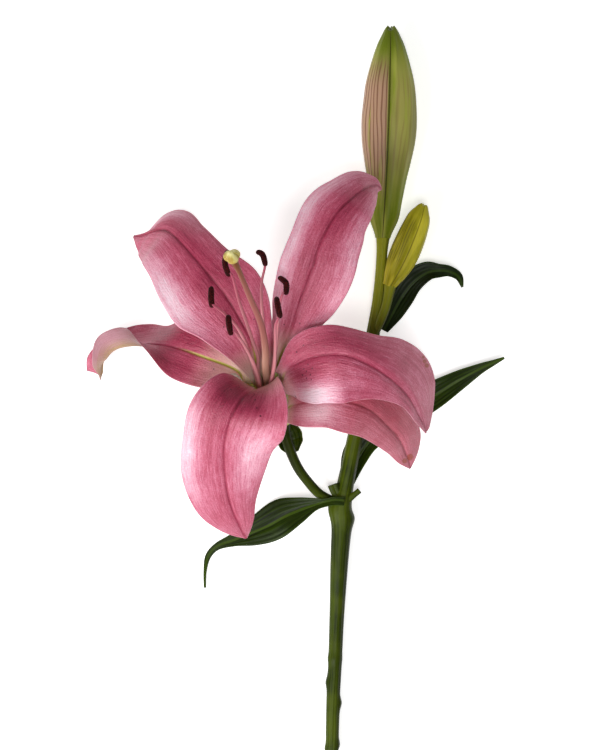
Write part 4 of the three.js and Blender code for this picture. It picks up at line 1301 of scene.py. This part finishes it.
STAMENS = {
    1: {
        "foot": 145,
        "rows": [
            [-18, 8, 51], [-18, 15.5, 56], [-20.5, 23.5, 63], [-24, 34, 71], [-27, 43, 78],
            [-29.5, 53, 87.3],
        ],
        "anther": [[-31.5, 65.5, 85.5], [-33, 59.5, 87], [-31, 53, 88]],
    },
    2: {
        "foot": 195,
        "rows": [
            [-18.5, 5, 53], [-21, 14, 61], [-24.5, 24, 70], [-29.5, 32, 78], [-37.5, 39, 86.9],
        ],
        "anther": [[-39.5, 48.5, 84], [-39.5, 43, 86], [-39, 38.5, 87]],
    },
    3: {
        "foot": 245,
        "rows": [
            [-17, 2, 55], [-19.5, 11.5, 66], [-23.5, 20, 78], [-27, 25.5, 86], [-28.5, 27.5, 90.4],
        ],
        "anther": [[-31.5, 35, 88], [-31, 30.5, 90], [-30, 25.5, 91]],
    },
    4: {
        "foot": 90,
        "rows": [
            [-13.5, 11.5, 54], [-14, 20, 62], [-15, 29.5, 68.5], [-16, 39.5, 74], [-16, 50, 79],
            [-14.5, 57, 81.7],
        ],
        "anther": [[-18.5, 65, 80], [-15.5, 63.5, 81], [-14, 58, 82]],
    },
    5: {
        "foot": 30,
        "rows": [
            [-11, 8.5, 55.5], [-9.5, 19, 63], [-8.5, 30, 72], [-7.5, 40, 79.5], [-6, 45, 84.6],
        ],
        "anther": [[-8, 53, 82], [-4.5, 50, 84], [-4.5, 44.5, 85]],
    },
    6: {
        "foot": 315,
        "rows": [
            [-12, 2, 56], [-10, 12, 68], [-9.5, 21.5, 79], [-9.5, 29, 88], [-8.5, 32.5, 92.4],
        ],
        "anther": [[-9, 43.5, 89], [-8, 38, 92], [-7, 33.5, 93]],
    },
}


def anther_material():
    """Dark maroon pollen, matt and finely grained."""
    shade = Shade("pollen", 0.6, Specular_IOR_Level=0.1)
    specks = shade.noise(1800.0, 3.0)
    cloud = shade.noise(260.0, 2.0)
    base = shade.mix(shade.step(specks, 0.4, 0.62), colour(0x1C0203), colour(0x480C0A))
    base = shade.mix(shade.step(cloud, 0.5, 0.7, 0.4), base, colour(0x260306))
    return shade.finish(base, specks, 0.0003, 0.8)


def anther_relief(u, angle):
    """Two pollen sacs side by side, each with its groove."""
    body = np.sqrt(1 - np.abs(2 * np.clip(u, 0.01, 0.99) - 1) ** 4)
    sacs = 1.1 + 0.24 * np.abs(np.cos(angle)) - 0.2 * bump(angle_gap(angle, 90), 16)
    grooves = -0.12 * bump(angle_gap(angle, 35), 10) - 0.12 * bump(angle_gap(angle, 145), 10)
    return body * (sacs + grooves) + 0.06 * soft_noise(angle * 9, u * 40, 6)


filament_look = stalk_material(
    "filament_skin", colour(0xDCC2A4), colour(0xCC868C), colour(0xA8405A), 0.35
)
anther_look = anther_material()
for number, stamen in STAMENS.items():
    feet = [[*in_bloom(height, FILAMENT_RING, stamen["foot"])] for height in STAMEN_FOOT_HEIGHTS]
    middle, last = np.array(stamen["anther"][1:])
    line = feet + stamen["rows"] + [[*(0.75 * last + 0.25 * middle)]]
    radii = np.linspace(1.3, 0.5, len(line))
    rings, values = stalk_rings(
        [[*row, radius] for row, radius in zip(line, radii)], sides=20, steps=100
    )
    made = skin_over(f"filament_{number}_fine", rings, values)
    piece(made, f"filament_{number}", filament_look)
    ends = [[*row, 0.1] for row in stamen["anther"]]
    rings, values = stalk_rings(ends, sides=40, steps=70, relief=anther_relief)
    made = skin_over(f"anther_{number}_fine", rings, values)
    piece(made, f"anther_{number}", anther_look)

# ---------------------------------------------------------------- floor, light and camera


def floor_material():
    shade = Shade("floor_white", 0.9, Emission_Strength=0.56, Emission_Color=(1, 1, 1, 1))
    cloud = shade.noise(3.0, 2.0)
    return shade.finish(shade.mix(shade.step(cloud, 0.3, 0.7), colour(0xF6F6F6), colour(0xFAFAFA)))


def make_floor():
    line = np.linspace(-3000, 3000, 13)
    x, y = np.meshgrid(line, line)
    points = np.stack([x, y, np.zeros_like(x)], -1).reshape(-1, 3)
    made = mesh_object("floor", points, grid_quads(13, 13))
    made.data.materials.append(floor_material())


def make_light(name, place, size, power):
    """A round soft light that faces the middle of the floor."""
    light = bpy.data.lights.new(name, "AREA")
    light.shape = "DISK"
    light.size = size
    light.energy = power
    made = bpy.data.objects.new(name, light)
    made.location = place
    made.rotation_euler = made.location.to_track_quat("Z", "Y").to_euler()
    bpy.context.scene.collection.objects.link(made)


make_floor()
make_light("key", (-0.85, -0.8, 1.15), 0.9, 21.5)
make_light("fill", (0.12, -0.3, 1.65), 0.4, 8)

world = bpy.data.worlds.new("studio")
world.use_nodes = True
world.node_tree.nodes["Background"].inputs[0].default_value = (1, 1, 1, 1)
world.node_tree.nodes["Background"].inputs[1].default_value = 0.22
scene = bpy.context.scene
scene.world = world
scene.view_settings.view_transform = "Standard"

camera = bpy.data.objects.new("camera", bpy.data.cameras.new("camera"))
camera.location = (0.0021, 0.0070, 1.5)
camera.data.lens = 145
camera.data.sensor_width = 36
camera.data.clip_start = 0.05
scene.collection.objects.link(camera)
scene.camera = camera
